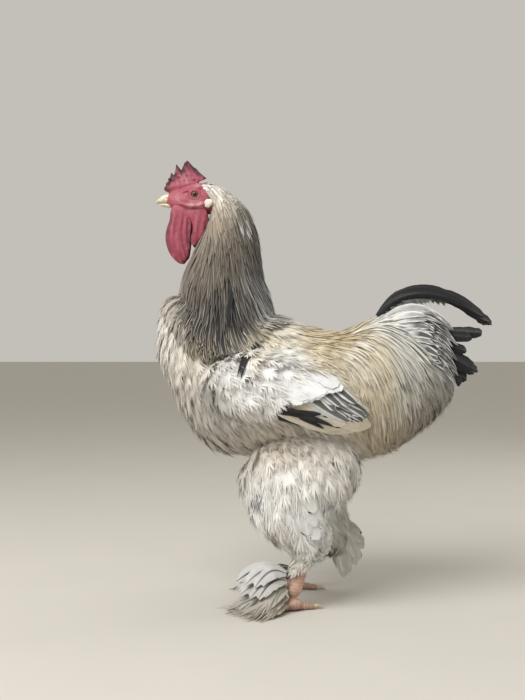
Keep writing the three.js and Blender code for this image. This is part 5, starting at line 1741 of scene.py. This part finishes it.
def build_beak():
    # Beak horn: smooth pale yellow with darker growth streaks and a slight polish
    horn = horn_material("beak horn, yellow and streaked", 0xDDD3B6, 0x9C917A, 0.38, 2.5)
    for name, stations in (("beak_upper", UPPER_BEAK_STATIONS), ("beak_lower", LOWER_BEAK_STATIONS)):
        verts, tris = Form(stations).mesh(36, 32)
        if name == "beak_upper":
            for side in (LEFT, RIGHT):
                gap = (verts - np.array([-243.5, side * 6.4, 620.5])) / np.array([2.6, 3.0, 1.3])
                verts[:, 1] -= side * 1.6 * np.exp(-(gap**2).sum(1))
        piece(f"{name}_horn", mesh_of(name, verts, tris), horn, (name,))


def build_eyes():
    # Wet eye: a sharp small highlight over a dark pupil
    gloss = eye_material("wet eye, brown iris", EYE["radius"])
    for name, side in SIDES.items():
        mesh = mesh_of("eye", *ball_mesh((0, 0, 0), (EYE["radius"],) * 3, 24, 32))
        place = (EYE["x"], side * EYE["y"], EYE["z"])
        piece(f"eyeball_{name}", mesh, gloss, (f"eye_{name}",), place)


def build_earlobes():
    # Earlobe: chalky soft skin, a little wrinkled
    soft = skin_material("earlobe skin, chalky white", 0.6, 1.6, 0.3, 0.1)
    for name, side in SIDES.items():
        verts, tris = ball_mesh((0, 0, 0), EARLOBE["half"], 20, 28)
        around = np.arctan2(verts[:, 2], verts[:, 0])
        verts[:, [0, 2]] *= (1 + 0.1 * np.sin(3 * around + 1) + 0.05 * np.sin(7 * around))[:, None]
        verts[:, 2] += 0.2 * verts[:, 0]
        verts += np.array([EARLOBE["x"], side * EARLOBE["y"], EARLOBE["z"]])
        mesh = mesh_of("earlobe", verts, tris)
        rim = np.clip(-(verts[:, 0] - EARLOBE["x"]) / 16, 0, 0.4)[:, None]
        set_tint(mesh, lerp(rgb(0xE8E3DA), rgb(FACE_PALE), rim))
        piece(f"earlobe_skin_{name}", mesh, soft, (f"earlobe_{name}",))


def build_claws():
    # Claw horn: worn and pale, duller than the beak
    horn = horn_material("claw horn, pale and worn", 0xD2C6AE, 0x8D8270, 0.45, 2.0)
    for name, leg in LEGS.items():
        for toe in TOES:
            verts, tris = claw_form(leg, toe).mesh(18, 14)
            verts[:, 2] = np.maximum(verts[:, 2], SKIN_CLEAR)
            mesh = mesh_of("claw", verts, tris)
            piece(f"claw_horn_{name}_{toe}", mesh, horn, (f"claw_{name}_{toe}",))


def behind_face(p):
    """The feathered part of the head: behind a line from the comb's end past the ear to the throat."""
    x, _, z = p.T
    line = np.interp(z, [540, 563, 590, 603, 618, 625, 634, 645, 660],
                     [-200, -188, -177, -168, -166, -172, -184, -198, -204])
    return (x > line) & (x < -128) & (z > 545)


HEAD_SPACING = 4.0


def grow_head_feathers():
    """Tiny feathers at the edge of the bare face: on the crown, behind the ear and down the throat."""
    bed = state["bed"]
    roots = bed.scatter(behind_face, HEAD_SPACING, SEED + 360)
    coat = loose_coat(roots, SEED + 361, length=15, width=7, lift=3.2, barbs=9, puff=0.08, hug=0.85,
                      swing=0.16, fray=0.25)
    feather_piece("head_feathers", [coat], keratin("soft"))


# Stage
CAMERA_PLACE = (-94.5, -1500.0, 386.0)
PHOTO_HEIGHT = 700
FOCAL_PIXELS = 967.7
SENSOR = 36.0  # the camera's own width, which has nothing to do with the bird's size
FLOOR_HALF = 30.0  # half a side of the floor, in metres
FLOOR_MOTTLE = 1000 / 6  # millimetres between uneven places of the floor's paint
LAMPS = {  # place and side of each square soft light, in metres
    "key": ((-1.1, -1.3, 2.1), 1.5),
    "fill": ((1.6, 0.9, 1.5), 1.8),
}
LAMP_AIM = (0, 0, 0.33)


def build_stage(stage):
    """A level camera, a plain matt floor, even light from all round and two soft lamps."""
    scene = bpy.context.scene
    scene.view_settings.view_transform = "Standard"
    camera = bpy.data.cameras.new("camera")
    camera.sensor_fit = "AUTO"
    camera.sensor_width = SENSOR
    camera.lens = FOCAL_PIXELS / PHOTO_HEIGHT * SENSOR
    camera.dof.use_dof = False
    holder = bpy.data.objects.new("camera", camera)
    holder.location = Vector(CAMERA_PLACE) * MM
    holder.rotation_euler = (math.pi / 2, 0, 0)
    scene.collection.objects.link(holder)
    scene.camera = holder

    mesh = bpy.data.meshes.new("floor")
    corners = [(FLOOR_HALF * x, FLOOR_HALF * y, 0) for x, y in ((-1, -1), (1, -1), (1, 1), (-1, 1))]
    mesh.from_pydata(corners, [], [(0, 1, 2, 3)])
    floor = bpy.data.objects.new("floor", mesh)
    # Studio floor: matt paint, very slightly uneven
    material, tree, shader = new_material("studio floor, matt paint", Roughness=0.95)
    shader.inputs["Specular IOR Level"].default_value = 0.1
    place = add(tree, "ShaderNodeNewGeometry")
    mottle = add(tree, "ShaderNodeTexNoise", {"Vector": place.outputs["Position"],
                                              "Scale": per_mm(FLOOR_MOTTLE), "Detail": 2.0})
    shade = add(tree, "ShaderNodeMapRange", {"Value": mottle.outputs["Fac"], "To Min": 0.97, "To Max": 1.03})
    colour = add(tree, "ShaderNodeVectorMath", {0: tuple(stage.floor_colour), "Scale": shade.outputs[0]},
                 operation="SCALE")
    tree.links.new(colour.outputs[0], shader.inputs["Base Color"])
    mesh.materials.append(material)
    scene.collection.objects.link(floor)

    world = bpy.data.worlds.new("studio")
    world.use_nodes = True
    background = world.node_tree.nodes["Background"]
    background.inputs["Color"].default_value = (*linear(0xE2DED6), 1)
    background.inputs["Strength"].default_value = stage.sky_strength
    scene.world = world
    powers = {"key": stage.key_power, "fill": stage.fill_power}
    for name, (place, size) in LAMPS.items():
        light = bpy.data.lights.new(name, "AREA")
        light.shape = "SQUARE"
        light.size = size
        light.energy = powers[name]
        lamp = bpy.data.objects.new(name, light)
        lamp.location = place
        aim = Vector(LAMP_AIM) - Vector(place)
        lamp.rotation_euler = aim.to_track_quat("-Z", "Y").to_euler()
        scene.collection.objects.link(lamp)


class BIRD_OT_skin(bpy.types.Operator):
    """Grows one skin for all the flesh"""
    bl_idname = "bird.skin"
    bl_label = "Skin"

    def execute(self, context):
        build_skin(context.scene.bird_sizes)
        return {"FINISHED"}


class BIRD_OT_beak(bpy.types.Operator):
    """Makes the horn of the beak"""
    bl_idname = "bird.beak"
    bl_label = "Beak"

    def execute(self, context):
        build_beak()
        return {"FINISHED"}


class BIRD_OT_eyes(bpy.types.Operator):
    """Sets the eyes"""
    bl_idname = "bird.eyes"
    bl_label = "Eyes"

    def execute(self, context):
        build_eyes()
        return {"FINISHED"}


class BIRD_OT_earlobes(bpy.types.Operator):
    """Sets the white earlobes"""
    bl_idname = "bird.earlobes"
    bl_label = "Earlobes"

    def execute(self, context):
        build_earlobes()
        return {"FINISHED"}


class BIRD_OT_claws(bpy.types.Operator):
    """Makes the claws"""
    bl_idname = "bird.claws"
    bl_label = "Claws"

    def execute(self, context):
        build_claws()
        return {"FINISHED"}


class BIRD_OT_body_coat(bpy.types.Operator):
    """Lays the feathers of breast, belly and shoulders"""
    bl_idname = "bird.body_coat"
    bl_label = "Body coat"

    def execute(self, context):
        grow_body(context.scene.bird_sizes)
        return {"FINISHED"}


class BIRD_OT_thigh_coat(bpy.types.Operator):
    """Lays the soft feathers of the thighs"""
    bl_idname = "bird.thigh_coat"
    bl_label = "Thigh coat"

    def execute(self, context):
        grow_thighs(context.scene.bird_sizes)
        return {"FINISHED"}


class BIRD_OT_rear_fluff(bpy.types.Operator):
    """Lays the fluff below the tail"""
    bl_idname = "bird.rear_fluff"
    bl_label = "Rear fluff"

    def execute(self, context):
        grow_rear(context.scene.bird_sizes)
        return {"FINISHED"}


class BIRD_OT_saddle(bpy.types.Operator):
    """Lays the long feathers of the back"""
    bl_idname = "bird.saddle"
    bl_label = "Saddle"

    def execute(self, context):
        grow_saddle(context.scene.bird_sizes)
        return {"FINISHED"}


class BIRD_OT_wings(bpy.types.Operator):
    """Folds both wings"""
    bl_idname = "bird.wings"
    bl_label = "Wings"

    def execute(self, context):
        for name, side in SIDES.items():
            grow_wing(name, side, context.scene.bird_sizes)
        return {"FINISHED"}


class BIRD_OT_tail(bpy.types.Operator):
    """Sets the tail: stiff quills, two sickles and the coverts over their roots"""
    bl_idname = "bird.tail"
    bl_label = "Tail"

    def execute(self, context):
        grow_tail_quills()
        grow_sickles()
        grow_tail_coverts()
        return {"FINISHED"}


class BIRD_OT_leg_feathers(bpy.types.Operator):
    """Lays the feathers of hocks, shanks and feet"""
    bl_idname = "bird.leg_feathers"
    bl_label = "Leg feathers"

    def execute(self, context):
        grow_hocks()
        grow_shanks()
        grow_feet()
        return {"FINISHED"}


class BIRD_OT_hackle(bpy.types.Operator):
    """Hangs the cape of the neck and the small feathers of the head"""
    bl_idname = "bird.hackle"
    bl_label = "Hackle"

    def execute(self, context):
        grow_head_feathers()
        grow_hackle(context.scene.bird_sizes)
        return {"FINISHED"}


class BIRD_OT_stage(bpy.types.Operator):
    """Sets camera, floor and lights"""
    bl_idname = "bird.stage"
    bl_label = "Stage"

    def execute(self, context):
        build_stage(context.scene.bird_stage)
        return {"FINISHED"}


STEPS = (
    BIRD_OT_skin, BIRD_OT_beak, BIRD_OT_eyes, BIRD_OT_earlobes, BIRD_OT_claws, BIRD_OT_body_coat,
    BIRD_OT_thigh_coat, BIRD_OT_rear_fluff, BIRD_OT_saddle, BIRD_OT_wings, BIRD_OT_tail, BIRD_OT_leg_feathers,
    BIRD_OT_hackle, BIRD_OT_stage,
)


class BIRD_PT_pieces(bpy.types.Panel):
    """Lists the sizes of the bird and the steps that make it"""
    bl_idname = "BIRD_PT_pieces"
    bl_label = "Bird"
    bl_space_type = "VIEW_3D"
    bl_region_type = "UI"
    bl_category = "Bird"

    def draw(self, context):
        for group in (context.scene.bird_sizes, context.scene.bird_stage):
            for name in group.bl_rna.properties.keys():
                if name not in ("rna_type", "name"):
                    self.layout.prop(group, name)
        for step in STEPS:
            self.layout.operator(step.bl_idname)


CLASSES = (BirdSizes, StageSizes, *STEPS, BIRD_PT_pieces)


def register():
    for kind in CLASSES:
        bpy.utils.register_class(kind)
    bpy.types.Scene.bird_sizes = bpy.props.PointerProperty(type=BirdSizes)
    bpy.types.Scene.bird_stage = bpy.props.PointerProperty(type=StageSizes)


def unregister():
    del bpy.types.Scene.bird_stage
    del bpy.types.Scene.bird_sizes
    for kind in reversed(CLASSES):
        bpy.utils.unregister_class(kind)


def main():
    register()
    for step in STEPS:
        getattr(bpy.ops.bird, step.bl_idname.split(".")[1])()
    bpy.context.view_layer.update()


if __name__ == "__main__":
    main()
